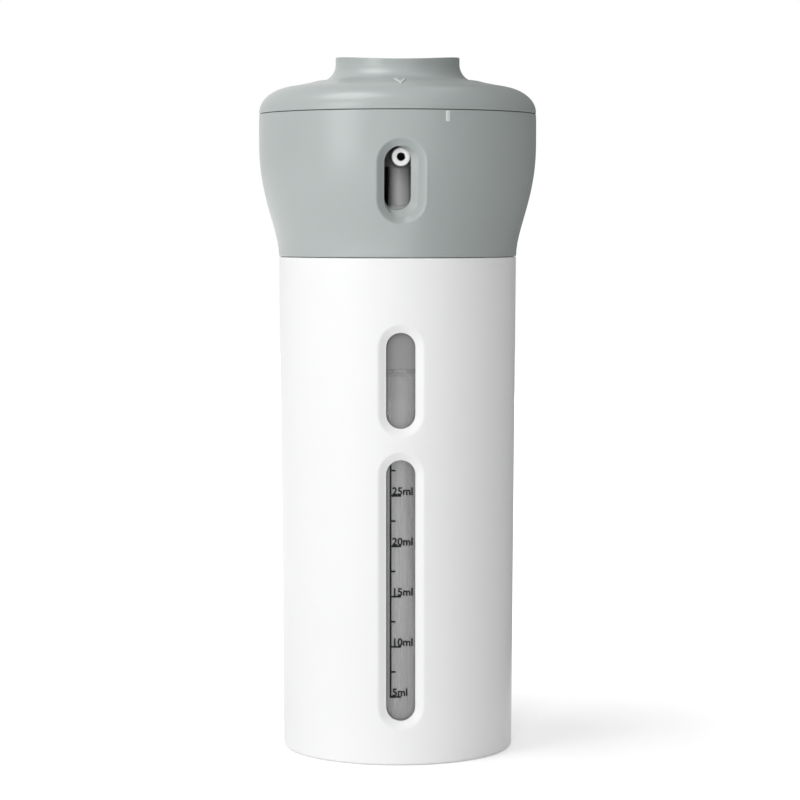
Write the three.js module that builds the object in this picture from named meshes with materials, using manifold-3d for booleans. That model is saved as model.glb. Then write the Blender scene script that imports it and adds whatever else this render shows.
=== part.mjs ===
// Travel dispenser: four pump bottles on a turntable inside one sleeve, chosen by turning the cap
// and dispensed by pressing the button in its neck. Millimetres, +Z up, the windows face -Y,
// and the origin is the middle of the foot ring that the sleeve stands on.

import * as THREE from 'three';
import { mergeVertices } from 'three/addons/utils/BufferGeometryUtils.js';
import Module from 'manifold-3d';

const wasm = await Module();
wasm.setup();

// Clearances
const seatGap = 0.3; // between pieces that rest on or press into one another
const runGap = 0.4; // between pieces that turn or slide past one another
const seamGap = 0.25; // the visible line between collar and cap
const over = 1; // how far a cutter runs past what it cuts
const bite = 0.5; // overlap of bodies that are joined into one piece

// Outer sleeve
const sleeveHeight = 122.1;
const sleeveBaseRadius = 28.5;
const sleeveDraft = 0.85; // how much wider the sleeve is at its top
const sleeveWall = 1.8;
const sleeveFloor = 2;
const sleeveEdge = 0.9;
const footRecess = 0.8;
const footWidth = 3.5;

// Windows, all on the front
const sleeveWindowWidth = 7;
const scaleWindowBase = 10.7;
const scaleWindowHeight = 63.1;
const windowBridge = 7.5; // between the two windows of the sleeve
const levelWindowHeight = 23;
const nozzleWindowWidth = 8.1;
const nozzleWindowBelow = 14.2; // reach under the nozzle axis, for its stroke
const nozzleWindowAbove = 2.6;
const windowBevelWidth = 1.9;
const windowBevelDepth = 1.3;

// Head collar
const collarHeight = 34.7;
const collarLap = 0.05; // how far the collar stands proud of the sleeve
const collarBulge = 4.85; // how far the bowl stands out from its base
const collarBulgeHeight = 27.2;
const collarSeamDraw = 0.05; // how far the seam is drawn in from the bulge
const collarCrown = 0.1; // how full the wall is between bulge and seam
const bowlFootOut = 0; // the bowl's curve, as shares of its bulge and height
const bowlFootUp = 0.25;
const bowlBellyUp = 0.515;
const collarWall = 2;
const collarLipWall = 2.25;
const collarLipHeight = 1.5;
const collarBoreWall = 1.6;
const ledgeReach = 2;
const ledgeThickness = 1.2;
const spigotDepth = 7;
const spigotWall = 1.6;

// Guide deck, fixed in the collar under the cap
const deckThickness = 1.6;
const postRadius = 1;
const postSpread = 32; // degrees between the posts

// Selector cap
const capHeight = 13.75;
const capSkirtDepth = 3.85;
const capSkirtWall = 1.4;
const capBeadHeight = 1.5;
const capWall = 2;
const capHaunch = 3; // drop of the ceiling to the skirt
const shoulderInset = 7.7; // from the seam in to the dome
const shoulderRise = 0.47; // the shoulder's curve, as shares of its height, width and fall
const shoulderReach = 0.64;
const shoulderEase = 1.6;
const domeFall = 1.2;
const neckRadius = 15.3;
const neckHeight = 6;
const neckFillet = 4.4;
const neckWall = 1.6;
const thumbScoop = 1;
const notchRadius = 1;
const notchDepth = 0.6;
const lockAngle = 20; // degrees from a bottle to its locked position

// Press button and the plunger under it
const stroke = 6;
const buttonDrop = 0.5; // under the lowest point of the rim
const buttonDish = 1.4;
const dishSpread = 0.6; // of the button's radius
const buttonEdge = 0.6;
const buttonPlate = 1.8;
const buttonWall = 1.4;
const flangeThickness = 1.6;
const keyWidth = 1.6;
const keyReach = 0.7;
const keyLength = 5;
const stemAcrossCorners = 7;
const stemEngagement = 14;
const plungerRadius = 2.6;
const plungerHeadRadius = 4;
const plungerHeadThickness = 1;
const buttonSpringRadius = 8.8;
const buttonSpringWire = 0.8;
const buttonSpringTurns = 5;

// Click spring, a steel leaf on the deck that drops into the cap's notches
const leafThickness = 0.4;
const leafHeight = 3;
const leafSpread = 40; // degrees
const leafBump = 0.8;
const leafSharpness = 8;

// Turntable
const turntableThickness = 2.6;
const turntableLift = 1.9;
const hubRadius = 5.8;
const hubRise = 2.6;
const clipGrip = 0.8;
const clipReach = 1.2;
const clipThickness = 0.8;
const clipMouth = 60; // degrees

// Bottles
const pumpShare = 0.5632; // of the bottle's radius, from the turntable's axis to each pump's
const bottleClearance = 0.6;
const bottleSplit = 1; // between neighbouring bottles
const bottleWall = 1;
const bottleFloor = 1.2;
const bottleLift = 3.6;
const bottleEdge = 2.4;
const bottleCorner = 3.5;
const bottleApex = 3;
const neckOuter = 8.4;
const neckThickness = 1.2;
const neckLength = 7.75;
const gasketThickness = 1;

// Closures
const closureHeight = 11.65;
const closureWall = 1;
const closureRoof = 2.6;
const socketWall = 1.2;
const towerStand = 17;
const towerShoulder = 1.5;
const towerWall = 1.7;
const towerLip = 0.6;
const towerLipHeight = 1.3;

// Pumps
const stemRadius = 2.8;
const stemBore = 1.2;
const stemPocket = 3;
const pistonHeight = 4;
const pistonWaist = 0.5;
const housingBore = 4.5;
const housingWall = 1;
const housingFlange = 1.7;
const housingFlangeThickness = 1.2;
const glandFlange = 2.3;
const glandThickness = 1.5;
const glandDepth = 4;
const inletFloor = 2;
const inletRadius = 1;
const ballRadius = 1.6;
const pumpSpringLength = 15;
const pumpSpringWire = 0.7;
const pumpSpringTurns = 4;
const tubeRadius = 2;
const tubeWall = 0.6;
const tubeSocket = 6;
const tubeSocketWall = 1;
const tubeFloorGap = 1.5;

// Actuators and nozzle tips
const headClearance = 0.7; // under the deck
const actuatorRadius = 6;
const actuatorHeight = 8.2;
const actuatorWall = 1;
const actuatorHollow = 3;
const actuatorEdge = 0.9;
const actuatorRest = 2; // room left under the actuator at the end of its stroke
const nozzleDrop = 4.7; // from the actuator's top to the nozzle axis
const nozzleSetback = 2.1; // from the collar's inner wall to the nozzle face
const spoutRadius = 2.5;
const spoutTipRadius = 2.25;
const spoutBore = 1;
const tipRadius = 2.2;
const tipThickness = 1;
const tipPlug = 2.4;
const tipPlugRadius = 1.4;
const tipEdge = 0.3;

// Facets around a turn
const shellSides = 36;
const capSides = 28;
const roundSides = 16;
const pumpSides = 8;
const pumpHeadSides = 12;
const wireSides = 4;
const coilSteps = 7; // in one turn of a spring
const bowlSteps = 8;
const curveSteps = 3;

// Levels, from the foot up
const sleeveFloorTop = footRecess + sleeveFloor;
const levelWindowBase = scaleWindowBase + scaleWindowHeight + windowBridge;
const collarBase = sleeveHeight + seatGap;
const seam = collarBase + collarHeight;
const capBase = seam + seamGap;
const capTop = capBase + capHeight;
const skirtBottom = capBase - capSkirtDepth;
const deckTop = skirtBottom - runGap;
const deckBottom = deckTop - deckThickness;
const actuatorTop = deckBottom - headClearance;
const actuatorBottom = actuatorTop - actuatorHeight;
const nozzleLevel = actuatorTop - nozzleDrop;
const stemTop = nozzleLevel - spoutBore;
const glandTop = actuatorBottom - stroke - actuatorRest;
const glandSeat = glandTop - glandThickness;
const housingTop = glandSeat - seatGap;
const towerTop = housingTop - housingFlangeThickness - seatGap;
const pistonTop = glandSeat - glandDepth - seatGap;
const pistonBottom = pistonTop - pistonHeight;
const inletSeat = pistonBottom - pumpSpringLength;
const inletBottom = inletSeat - inletFloor;
const turntableBottom = collarBase + turntableLift;
const turntableTop = turntableBottom + turntableThickness;
const closureTop = turntableBottom - towerStand;
const closureCeiling = closureTop - closureRoof;
const closureBottom = closureTop - closureHeight;
const bottleShoulder = closureBottom - seatGap;
const bottleBase = sleeveFloorTop + bottleLift;
const neckTop = bottleShoulder + neckLength;
const flangeBottom = deckTop + runGap + stroke + plungerHeadThickness + seatGap;
const flangeTop = flangeBottom + flangeThickness;
const capCeiling = flangeTop + seatGap;
const buttonTop = capTop - thumbScoop - buttonDrop;
const buttonCeiling = buttonTop - buttonDish - buttonPlate;
const hubTop = deckTop + hubRise;
const stemBottom = hubTop - stemEngagement;

// Radii that follow from the neighbours
const sleeveTopRadius = sleeveBaseRadius + sleeveDraft;
const spigotRadius = sleeveTopRadius - sleeveWall - seatGap;
const spigotBore = spigotRadius - spigotWall;
const collarBaseRadius = sleeveTopRadius + collarLap;
const collarBulgeRadius = collarBaseRadius + collarBulge;
const collarSeamRadius = collarBulgeRadius - collarSeamDraw;
const collarLip = collarSeamRadius - collarLipWall;
const collarBore = collarSeamRadius - collarBoreWall;
const capSkirtRadius = collarLip - runGap;
const capSkirtBore = capSkirtRadius - capSkirtWall;
const shoulderRadius = collarSeamRadius - shoulderInset;
const neckBore = neckRadius - neckWall;
const buttonRadius = neckBore - seatGap;
const leafRadius = capSkirtBore - runGap - leafBump - leafThickness;
const postCircle = leafRadius - seatGap - postRadius;
const bottleRadius = sleeveBaseRadius - sleeveWall - bottleClearance;
const pumpRadius = pumpShare * bottleRadius;
const nozzleReach = collarBulgeRadius - collarWall - nozzleSetback;
const flangeRadius = pumpRadius + plungerHeadRadius;
const turntableRadius = spigotBore - runGap;
const housingRadius = housingBore + housingWall;
const towerBore = housingRadius + seatGap;
const towerRadius = towerBore + towerWall;
const tubeSocketRadius = tubeRadius + seatGap + tubeSocketWall;

// Materials
const finish = (options) => new THREE.MeshStandardMaterial(options);
const plastic = (color, roughness) => finish({ color, roughness, metalness: 0 });
const white = plastic(0xe9ece9, 0.3);
const grey = plastic(0xb4bab4, 0.45);
const clear = finish({ color: 0xdfe4e2, roughness: 0.1, transparent: true, opacity: 0.4 });
const frosted = plastic(0x9da19f, 0.5);
const pumpWhite = plastic(0xf1f2f0, 0.35);
const rubber = plastic(0x4a4c4c, 0.8);
const steel = finish({ color: 0xb8babc, roughness: 0.3, metalness: 1 });

const radians = THREE.MathUtils.degToRad;
const at = (radius, level) => new THREE.Vector2(radius, level);

// Points along an arc, from one angle to the other
const arc = (x, y, radius, from, to, steps) =>
  Array.from({ length: steps + 1 }, (_, i) => {
    const angle = THREE.MathUtils.lerp(from, to, i / steps);
    return at(x + radius * Math.cos(angle), y + radius * Math.sin(angle));
  });

// Six times the volume that the triangles enclose: negative when they face inwards
function enclosed(positions, triangles) {
  const corner = (i) => new THREE.Vector3().fromArray(positions, 3 * triangles[i]);
  let sum = 0;
  for (let i = 0; i < triangles.length; i += 3) {
    sum += corner(i).dot(corner(i + 1).cross(corner(i + 2)));
  }
  return sum;
}

// Closed geometry as a solid for joining and cutting, with its faces pointing out
function solid(geometry) {
  const bare = geometry.clone();
  bare.deleteAttribute('normal');
  bare.deleteAttribute('uv');
  const merged = mergeVertices(bare, 1e-4);
  const vertProperties = Float32Array.from(merged.attributes.position.array);
  const corners = merged.index.array;
  const kept = [];
  for (let i = 0; i < corners.length; i += 3) {
    const [a, b, c] = corners.slice(i, i + 3);
    if (a !== b && b !== c && c !== a) kept.push(a, b, c);
  }
  if (enclosed(vertProperties, kept) < 0) kept.reverse();
  return new wasm.Manifold(new wasm.Mesh({ numProp: 3, vertProperties, triVerts: Uint32Array.from(kept) }));
}

function geometryOf(body) {
  const mesh = body.getMesh();
  const geometry = new THREE.BufferGeometry();
  geometry.setAttribute('position', new THREE.BufferAttribute(mesh.vertProperties, 3));
  geometry.setIndex(new THREE.BufferAttribute(mesh.triVerts, 1));
  geometry.computeVertexNormals();
  return geometry;
}

// Profile turned about Z; a profile that stays off the axis closes on itself
function revolve(points, sides) {
  const open = points[0].x === 0 && points[points.length - 1].x === 0;
  const profile = open ? points : [...points, points[0]];
  return solid(new THREE.LatheGeometry(profile, sides).rotateX(Math.PI / 2));
}

const disc = (radius, low, high, sides) =>
  revolve([at(0, low), at(radius, low), at(radius, high), at(0, high)], sides);

const tube = (bore, radius, low, high, sides) =>
  revolve([at(bore, low), at(radius, low), at(radius, high), at(bore, high)], sides);

function prism(shape, low, high) {
  const geometry = new THREE.ExtrudeGeometry(shape, {
    depth: high - low,
    bevelEnabled: false,
  });
  return solid(geometry.translate(0, 0, low));
}

// Prism whose end edges are rounded
function roundedPrism(shape, low, high, edge) {
  const geometry = new THREE.ExtrudeGeometry(shape, {
    depth: high - low - 2 * edge,
    bevelThickness: edge,
    bevelSize: edge,
    bevelOffset: -edge,
    bevelSegments: 2,
  });
  return solid(geometry.translate(0, 0, low + edge));
}

// Closed solid through rings of equally many points
function loft(rings) {
  const size = rings[0].length;
  const middle = (ring) => ring.reduce((sum, p) => sum.add(p), new THREE.Vector3()).divideScalar(size);
  const last = (rings.length - 1) * size;
  const points = [...rings.flat(), middle(rings[0]), middle(rings[rings.length - 1])];
  const index = [];
  for (let j = 0; j < size; j += 1) {
    const next = (j + 1) % size;
    for (let i = 0; i < rings.length - 1; i += 1) {
      const low = i * size;
      const high = low + size;
      index.push(low + j, low + next, high + next, low + j, high + next, high + j);
    }
    index.push(points.length - 2, next, j, points.length - 1, last + j, last + next);
  }
  const geometry = new THREE.BufferGeometry().setFromPoints(points);
  geometry.setIndex(index);
  return solid(geometry);
}

class Helix extends THREE.Curve {
  constructor(radius, low, high, turns) {
    super();
    Object.assign(this, { radius, low, high, turns });
  }

  getPoint(t, target = new THREE.Vector3()) {
    const angle = 2 * Math.PI * this.turns * t;
    const level = THREE.MathUtils.lerp(this.low, this.high, t);
    return target.set(this.radius * Math.cos(angle), this.radius * Math.sin(angle), level);
  }
}

// Coil spring that fills the height from low to high
function coil(radius, wire, turns, low, high) {
  const half = wire / 2;
  const section = new THREE.Shape(arc(0, 0, half, 0, 2 * Math.PI, wireSides).slice(0, -1));
  const path = new Helix(radius, low + half, high - half, turns);
  const options = { steps: coilSteps * turns, extrudePath: path, bevelEnabled: false };
  return solid(new THREE.ExtrudeGeometry(section, options));
}

const alongX = (body, level) => body.rotate([0, 90, 0]).translate([0, 0, level]);

// Oval outline with round ends, anticlockwise
function oval(width, height) {
  const radius = width / 2;
  const reach = height / 2 - radius;
  const steps = 2 * curveSteps;
  return [
    ...arc(0, reach, radius, 0, Math.PI, steps),
    ...arc(0, -reach, radius, Math.PI, 2 * Math.PI, steps),
  ];
}

// Cutter for a bevelled window in the front of a wall of revolution
function windowCutter(width, base, height, wall, radiusAt) {
  const centre = base + height / 2;
  const wrap = (outline, depth) =>
    outline.map((p) => {
      const radius = radiusAt(centre + p.y);
      const angle = p.x / radius;
      const reach = radius + depth;
      return new THREE.Vector3(reach * Math.sin(angle), -reach * Math.cos(angle), centre + p.y);
    });
  const small = oval(width, height);
  const wide = oval(width + 2 * windowBevelWidth, height + 2 * windowBevelWidth);
  return loft([wrap(small, -2 * wall), wrap(small, -windowBevelDepth), wrap(wide, 0), wrap(wide, wall)]);
}

// White sleeve: a drafted cup with a foot ring and the two windows of the bottle in use
function outerSleeve() {
  const outline = new THREE.Path();
  outline.moveTo(sleeveBaseRadius - footWidth, footRecess);
  outline.lineTo(sleeveBaseRadius - footWidth, 0);
  outline.lineTo(sleeveBaseRadius - sleeveEdge, 0);
  outline.quadraticCurveTo(sleeveBaseRadius, 0, sleeveBaseRadius, sleeveEdge);
  outline.lineTo(sleeveTopRadius, sleeveHeight);
  outline.lineTo(sleeveTopRadius - sleeveWall, sleeveHeight);
  outline.lineTo(sleeveBaseRadius - sleeveWall, sleeveFloorTop);
  const profile = [at(0, footRecess), ...outline.getPoints(curveSteps), at(0, sleeveFloorTop)];
  const radiusAt = (level) =>
    THREE.MathUtils.mapLinear(level, sleeveEdge, sleeveHeight, sleeveBaseRadius, sleeveTopRadius);
  const cutter = (base, height) => windowCutter(sleeveWindowWidth, base, height, sleeveWall, radiusAt);
  return revolve(profile, shellSides)
    .subtract(cutter(scaleWindowBase, scaleWindowHeight))
    .subtract(cutter(levelWindowBase, levelWindowHeight));
}

// Bowl of the collar, from its base up to the bulge, set in by a wall
function bowl(inset) {
  const along = (out, up) =>
    at(collarBaseRadius + out * collarBulge - inset, collarBase + up * collarBulgeHeight);
  return new THREE.CubicBezierCurve(
    along(0, 0),
    along(bowlFootOut, bowlFootUp),
    along(1, bowlBellyUp),
    along(1, 1),
  );
}

// Grey bowl that carries the head: spigot into the sleeve, deck ledge, snap lip for the cap
function headCollar() {
  const outer = bowl(0).getPoints(bowlSteps);
  const ledgeTop = deckBottom - seatGap;
  const ledge = collarBore - ledgeReach;
  const crown = (collarBulgeRadius + collarSeamRadius) / 2;
  const inner = bowl(collarWall).getPoints(bowlSteps / 2).reverse();
  const profile = [
    at(spigotBore, collarBase - spigotDepth),
    at(spigotRadius, collarBase - spigotDepth),
    at(spigotRadius, collarBase),
    ...outer,
    at(crown + collarCrown, (collarBase + collarBulgeHeight + seam) / 2),
    at(collarSeamRadius, seam),
    at(collarLip, seam),
    at(collarLip, seam - collarLipHeight),
    at(collarBore, seam - collarLipHeight),
    at(collarBore, ledgeTop),
    at(ledge, ledgeTop),
    at(ledge, ledgeTop - ledgeThickness),
    ...inner.slice(1, -1),
    at(spigotBore, turntableBottom - runGap),
  ];
  const radiusAt = (level) => {
    const above = outer.findIndex((p) => p.y >= level);
    if (above < 1) return collarBulgeRadius;
    const [low, high] = [outer[above - 1], outer[above]];
    return THREE.MathUtils.mapLinear(level, low.y, high.y, low.x, high.x);
  };
  const base = nozzleLevel - nozzleWindowBelow;
  const height = nozzleWindowBelow + nozzleWindowAbove;
  return revolve(profile, shellSides).subtract(
    windowCutter(nozzleWindowWidth, base, height, collarWall, radiusAt),
  );
}

// Fixed plate in the collar: bearing of the hub, guide of the plunger, posts of the click spring
function guideDeck() {
  const plate = disc(collarBore - seatGap, deckBottom, deckTop, shellSides);
  const hole = (radius) => disc(radius, deckBottom - over, deckTop + over, roundSides);
  const hubHole = hole(hubRadius + seatGap);
  const plungerHole = hole(plungerRadius + runGap);
  let deck = plate.subtract(hubHole).subtract(plungerHole.translate([0, -pumpRadius, 0]));
  for (const side of [-1, 1]) {
    const angle = radians(90 + (side * postSpread) / 2);
    const post = disc(postRadius, deckTop - bite, deckTop + leafHeight, pumpSides);
    deck = deck.add(post.translate([postCircle * Math.cos(angle), postCircle * Math.sin(angle), 0]));
  }
  return deck;
}

// Bent steel leaf at the back of the deck, its bump towards the notches
function clickSpring() {
  const steps = 2 * curveSteps;
  const edge = (offset) =>
    Array.from({ length: steps + 1 }, (_, i) => {
      const share = i / steps;
      const angle = radians(90 + (share - 0.5) * leafSpread);
      const radius = leafRadius + offset + leafBump * Math.sin(Math.PI * share) ** leafSharpness;
      return at(radius * Math.cos(angle), radius * Math.sin(angle));
    });
  const shape = new THREE.Shape([...edge(0), ...edge(leafThickness).reverse()]);
  return prism(shape, deckTop + seatGap, deckTop + seatGap + leafHeight);
}

// Domed cap with its raised neck: snap skirt, index notches, keyways for the button
function selectorCap() {
  const domeTop = capTop - neckHeight;
  const domeEdge = domeTop - domeFall;
  const filletEdge = neckRadius + neckFillet;
  const shoulder = new THREE.CubicBezierCurve(
    at(collarSeamRadius, capBase),
    at(collarSeamRadius, capBase + shoulderRise * (domeEdge - capBase)),
    at(shoulderRadius + shoulderReach * shoulderInset, domeTop - shoulderEase * domeFall),
    at(shoulderRadius, domeEdge),
  );
  const profile = [
    ...shoulder.getPoints(bowlSteps - 2),
    ...arc(filletEdge, domeTop + neckFillet, neckFillet, -Math.PI / 2, -Math.PI, curveSteps),
    at(neckRadius, capTop),
    at(neckBore, capTop),
    at(neckBore, capCeiling),
    at(shoulderRadius - capWall, capCeiling),
    at(capSkirtBore, capCeiling - capHaunch),
    at(capSkirtBore, skirtBottom),
    at(collarBore - runGap, skirtBottom),
    at(collarBore - runGap, skirtBottom + capBeadHeight),
    at(capSkirtRadius, skirtBottom + capBeadHeight),
    at(capSkirtRadius, capBase),
  ];
  let cap = revolve(profile, shellSides);
  cap = cap.subtract(thumbDip(neckRadius, capTop));
  const notch = disc(notchRadius, skirtBottom - over, skirtBottom + leafHeight + over, pumpSides);
  const notchCircle = capSkirtBore + notchDepth - notchRadius;
  for (const angle of [0, 90, 180, 270, lockAngle]) {
    cap = cap.subtract(notch.translate([0, notchCircle, 0]).rotate([0, 0, angle]));
  }
  const keyway = keyLength + over + seatGap;
  return cap.subtract(keys(keyReach + seatGap, keyWidth + 2 * seatGap, capCeiling - over, keyway));
}

// Space above the neck: a shallow trough from front to back for the thumb
function thumbDip(halfWidth, level) {
  const radius = (halfWidth ** 2 + thumbScoop ** 2) / (2 * thumbScoop);
  const edge = halfWidth + over;
  const spread = Math.asin(edge / radius);
  const down = -Math.PI / 2;
  const shape = new THREE.Shape([
    ...arc(0, level - thumbScoop + radius, radius, down - spread, down + spread, 2 * curveSteps),
    at(edge, level + 2 * thumbScoop),
    at(-edge, level + 2 * thumbScoop),
  ]);
  return prism(shape, -edge, edge).rotate([90, 0, 0]);
}

// Pair of key ribs on the sides of the button, also used to cut their keyways
function keys(reach, width, low, length) {
  const across = 2 * (buttonRadius + reach);
  return solid(new THREE.BoxGeometry(across, width, length).translate(0, 0, low + length / 2));
}

// Button: a dished cup with a stop flange, key ribs and the hexagonal stem that turns the hub
function pressButton() {
  const outline = new THREE.Path();
  const dish = buttonTop - buttonDish;
  outline.moveTo(0, dish);
  outline.quadraticCurveTo(dishSpread * buttonRadius, dish, buttonRadius - buttonEdge, buttonTop);
  outline.lineTo(buttonRadius, buttonTop - buttonEdge);
  outline.lineTo(buttonRadius, flangeTop);
  outline.lineTo(flangeRadius, flangeTop);
  outline.lineTo(flangeRadius, flangeBottom);
  outline.lineTo(buttonRadius - buttonWall, flangeBottom);
  outline.lineTo(buttonRadius - buttonWall, buttonCeiling);
  outline.lineTo(0, buttonCeiling);
  const hollow = disc(buttonRadius - buttonWall, flangeBottom - over, buttonCeiling, capSides);
  const ribs = keys(keyReach, keyWidth, flangeTop - bite, keyLength).subtract(hollow);
  const stem = disc(stemAcrossCorners / 2, stemBottom, buttonCeiling + bite, 6);
  return revolve(outline.getPoints(curveSteps), capSides).add(ribs).add(stem);
}

// Pin through the deck that passes the button's stroke on to the pump in front
function pressPlunger() {
  const head = flangeBottom - seatGap;
  return revolve(
    [
      at(0, actuatorTop + seatGap),
      at(plungerRadius, actuatorTop + seatGap),
      at(plungerRadius, head - plungerHeadThickness),
      at(plungerHeadRadius, head - plungerHeadThickness),
      at(plungerHeadRadius, head),
      at(0, head),
    ],
    roundSides,
  ).translate([0, -pumpRadius, 0]);
}

const buttonSpring = () =>
  coil(buttonSpringRadius, buttonSpringWire, buttonSpringTurns, deckTop + seatGap, buttonCeiling - seatGap);

// Turntable: plate with four pump seats and the hub that the button's stem turns
function turntable() {
  const groove = hubRadius - clipGrip;
  const hub = revolve(
    [
      at(0, turntableBottom),
      at(turntableRadius, turntableBottom),
      at(turntableRadius, turntableTop),
      at(hubRadius, turntableTop),
      at(hubRadius, deckTop),
      at(groove, deckTop),
      at(groove, deckTop + 2 * seatGap + clipThickness),
      at(hubRadius, deckTop + 2 * seatGap + clipThickness),
      at(hubRadius, hubTop),
      at(0, hubTop),
    ],
    capSides,
  );
  const socket = disc(stemAcrossCorners / 2 + seatGap, turntableBottom - over, hubTop + over, 6);
  const seat = disc(towerRadius + seatGap, turntableBottom - over, turntableTop + over, roundSides);
  let body = hub.subtract(socket);
  for (let i = 0; i < 4; i += 1) {
    body = body.subtract(seat.translate([pumpRadius, 0, 0]).rotate([0, 0, 90 * i]));
  }
  return body;
}

// Open clip in the hub's groove: the turntable hangs from it on the deck
function hubClip() {
  const bore = hubRadius - clipGrip + seatGap;
  const half = radians(clipMouth / 2);
  const shape = new THREE.Shape([
    ...arc(0, 0, hubRadius + clipReach, half, 2 * Math.PI - half, roundSides),
    ...arc(0, 0, bore, 2 * Math.PI - half, half, roundSides),
  ]);
  return prism(shape, deckTop + seatGap, deckTop + seatGap + clipThickness);
}

// Quarter of a disc about +X with rounded corners, drawn in by an inset
function quarter(inset) {
  const radius = bottleRadius - inset;
  const side = bottleSplit / 2 + inset;
  const corner = Math.max(bottleCorner - inset, inset);
  const apex = Math.max(bottleApex - inset, inset);
  const half = Math.PI / 4;
  const reach = Math.sqrt((radius - corner) ** 2 - (side + corner) ** 2);
  const lean = Math.atan2(side + corner, reach);
  const centre = at(radius - corner, 0).rotateAround(at(0, 0), half - lean);
  const square = half + Math.PI / 2;
  return new THREE.Shape([
    ...arc(centre.x, -centre.y, corner, -square, lean - half, curveSteps),
    ...arc(0, 0, radius, lean - half, half - lean, 2 * curveSteps).slice(1, -1),
    ...arc(centre.x, centre.y, corner, half - lean, square, curveSteps),
    ...arc(Math.SQRT2 * (side + apex), 0, apex, square, 2 * Math.PI - square, curveSteps),
  ]);
}

// Clear bottle: a quarter-round vessel with a round neck
function bottle() {
  const floor = bottleBase + bottleFloor;
  const roof = bottleShoulder - bottleWall;
  const body = roundedPrism(quarter(0), bottleBase, bottleShoulder, bottleEdge);
  const inside = roundedPrism(quarter(bottleWall), floor, roof, bottleEdge - bottleWall);
  const neck = disc(neckOuter, roof, neckTop, roundSides).translate([pumpRadius, 0, 0]);
  const mouth = disc(neckOuter - neckThickness, roof - over, neckTop + over, roundSides);
  return body.add(neck).subtract(inside).subtract(mouth.translate([pumpRadius, 0, 0]));
}

// Closure: a quarter-round lid that snaps on the neck, with the tower that hangs in the turntable
function closure() {
  const lid = prism(quarter(0), closureBottom, closureTop);
  const hollow = prism(quarter(closureWall), closureBottom - over, closureCeiling);
  const socketBore = neckOuter + seatGap;
  const shoulder = towerRadius + towerShoulder;
  const seat = turntableBottom - seatGap;
  const lip = turntableTop + seatGap;
  const socket = disc(socketBore + socketWall, closureBottom + seatGap, closureTop, roundSides);
  const tower = revolve(
    [
      at(0, closureCeiling),
      at(shoulder, closureCeiling),
      at(shoulder, seat),
      at(towerRadius, seat),
      at(towerRadius, lip),
      at(towerRadius + towerLip, lip),
      at(towerRadius, lip + towerLipHeight),
      at(towerRadius, towerTop),
      at(0, towerTop),
    ],
    roundSides,
  );
  const neckRoom = disc(socketBore, closureBottom - over, closureCeiling, roundSides);
  const bore = disc(towerBore, closureCeiling - over, towerTop + over, pumpSides);
  const onAxis = (body) => body.translate([pumpRadius, 0, 0]);
  return lid
    .subtract(hollow)
    .add(onAxis(socket).intersect(lid))
    .add(onAxis(tower))
    .subtract(onAxis(neckRoom))
    .subtract(onAxis(bore));
}

const neckGasket = () =>
  tube(towerBore, neckOuter, neckTop + seatGap, neckTop + seatGap + gasketThickness, pumpSides);

// Pump cylinder: flange on the tower, inlet seat for the ball, socket for the dip tube
function pumpHousing() {
  const flange = housingTop - housingFlangeThickness;
  const tubeBore = tubeRadius + seatGap;
  return revolve(
    [
      at(tubeBore, inletBottom - tubeSocket),
      at(tubeSocketRadius, inletBottom - tubeSocket),
      at(tubeSocketRadius, inletBottom),
      at(housingRadius, inletBottom),
      at(housingRadius, flange),
      at(housingRadius + housingFlange, flange),
      at(housingRadius + housingFlange, housingTop),
      at(housingBore, housingTop),
      at(housingBore, inletSeat),
      at(inletRadius, inletSeat),
      at(inletRadius, inletBottom),
      at(tubeBore, inletBottom),
    ],
    pumpSides,
  );
}

// Guide that closes the cylinder round the stem
function pumpGland() {
  const bore = stemRadius + seatGap;
  const flange = housingBore + glandFlange;
  return revolve(
    [
      at(bore, glandSeat - glandDepth),
      at(housingBore - seatGap, glandSeat - glandDepth),
      at(housingBore - seatGap, glandSeat),
      at(flange, glandSeat),
      at(flange, glandTop - glandThickness / 2),
      at(flange - glandThickness / 2, glandTop),
      at(bore, glandTop),
    ],
    pumpSides,
  );
}

// Hollow stem with its piston, waisted between two sealing lips
function pumpPiston() {
  const radius = housingBore - seatGap;
  const middle = (pistonBottom + pistonTop) / 2;
  return revolve(
    [
      at(stemBore, pistonBottom),
      at(radius, pistonBottom),
      at(radius - pistonWaist, middle),
      at(radius, pistonTop),
      at(stemRadius, pistonTop),
      at(stemRadius, stemTop),
      at(stemBore, stemTop),
    ],
    pumpSides,
  );
}

function inletBall() {
  const rise = Math.sqrt(ballRadius ** 2 - inletRadius ** 2);
  const ball = new THREE.SphereGeometry(ballRadius, pumpSides, pumpSides / 2);
  return solid(ball).translate([0, 0, inletSeat + rise + seatGap]);
}

const pumpSpring = () => {
  const radius = housingBore - runGap - pumpSpringWire / 2;
  return coil(radius, pumpSpringWire, pumpSpringTurns, inletSeat + seatGap, pistonBottom - seatGap);
};

const dipTube = () => {
  const foot = bottleBase + bottleFloor + tubeFloorGap;
  return tube(tubeRadius - tubeWall, tubeRadius, foot, inletBottom - seatGap, pumpSides);
};

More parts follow.
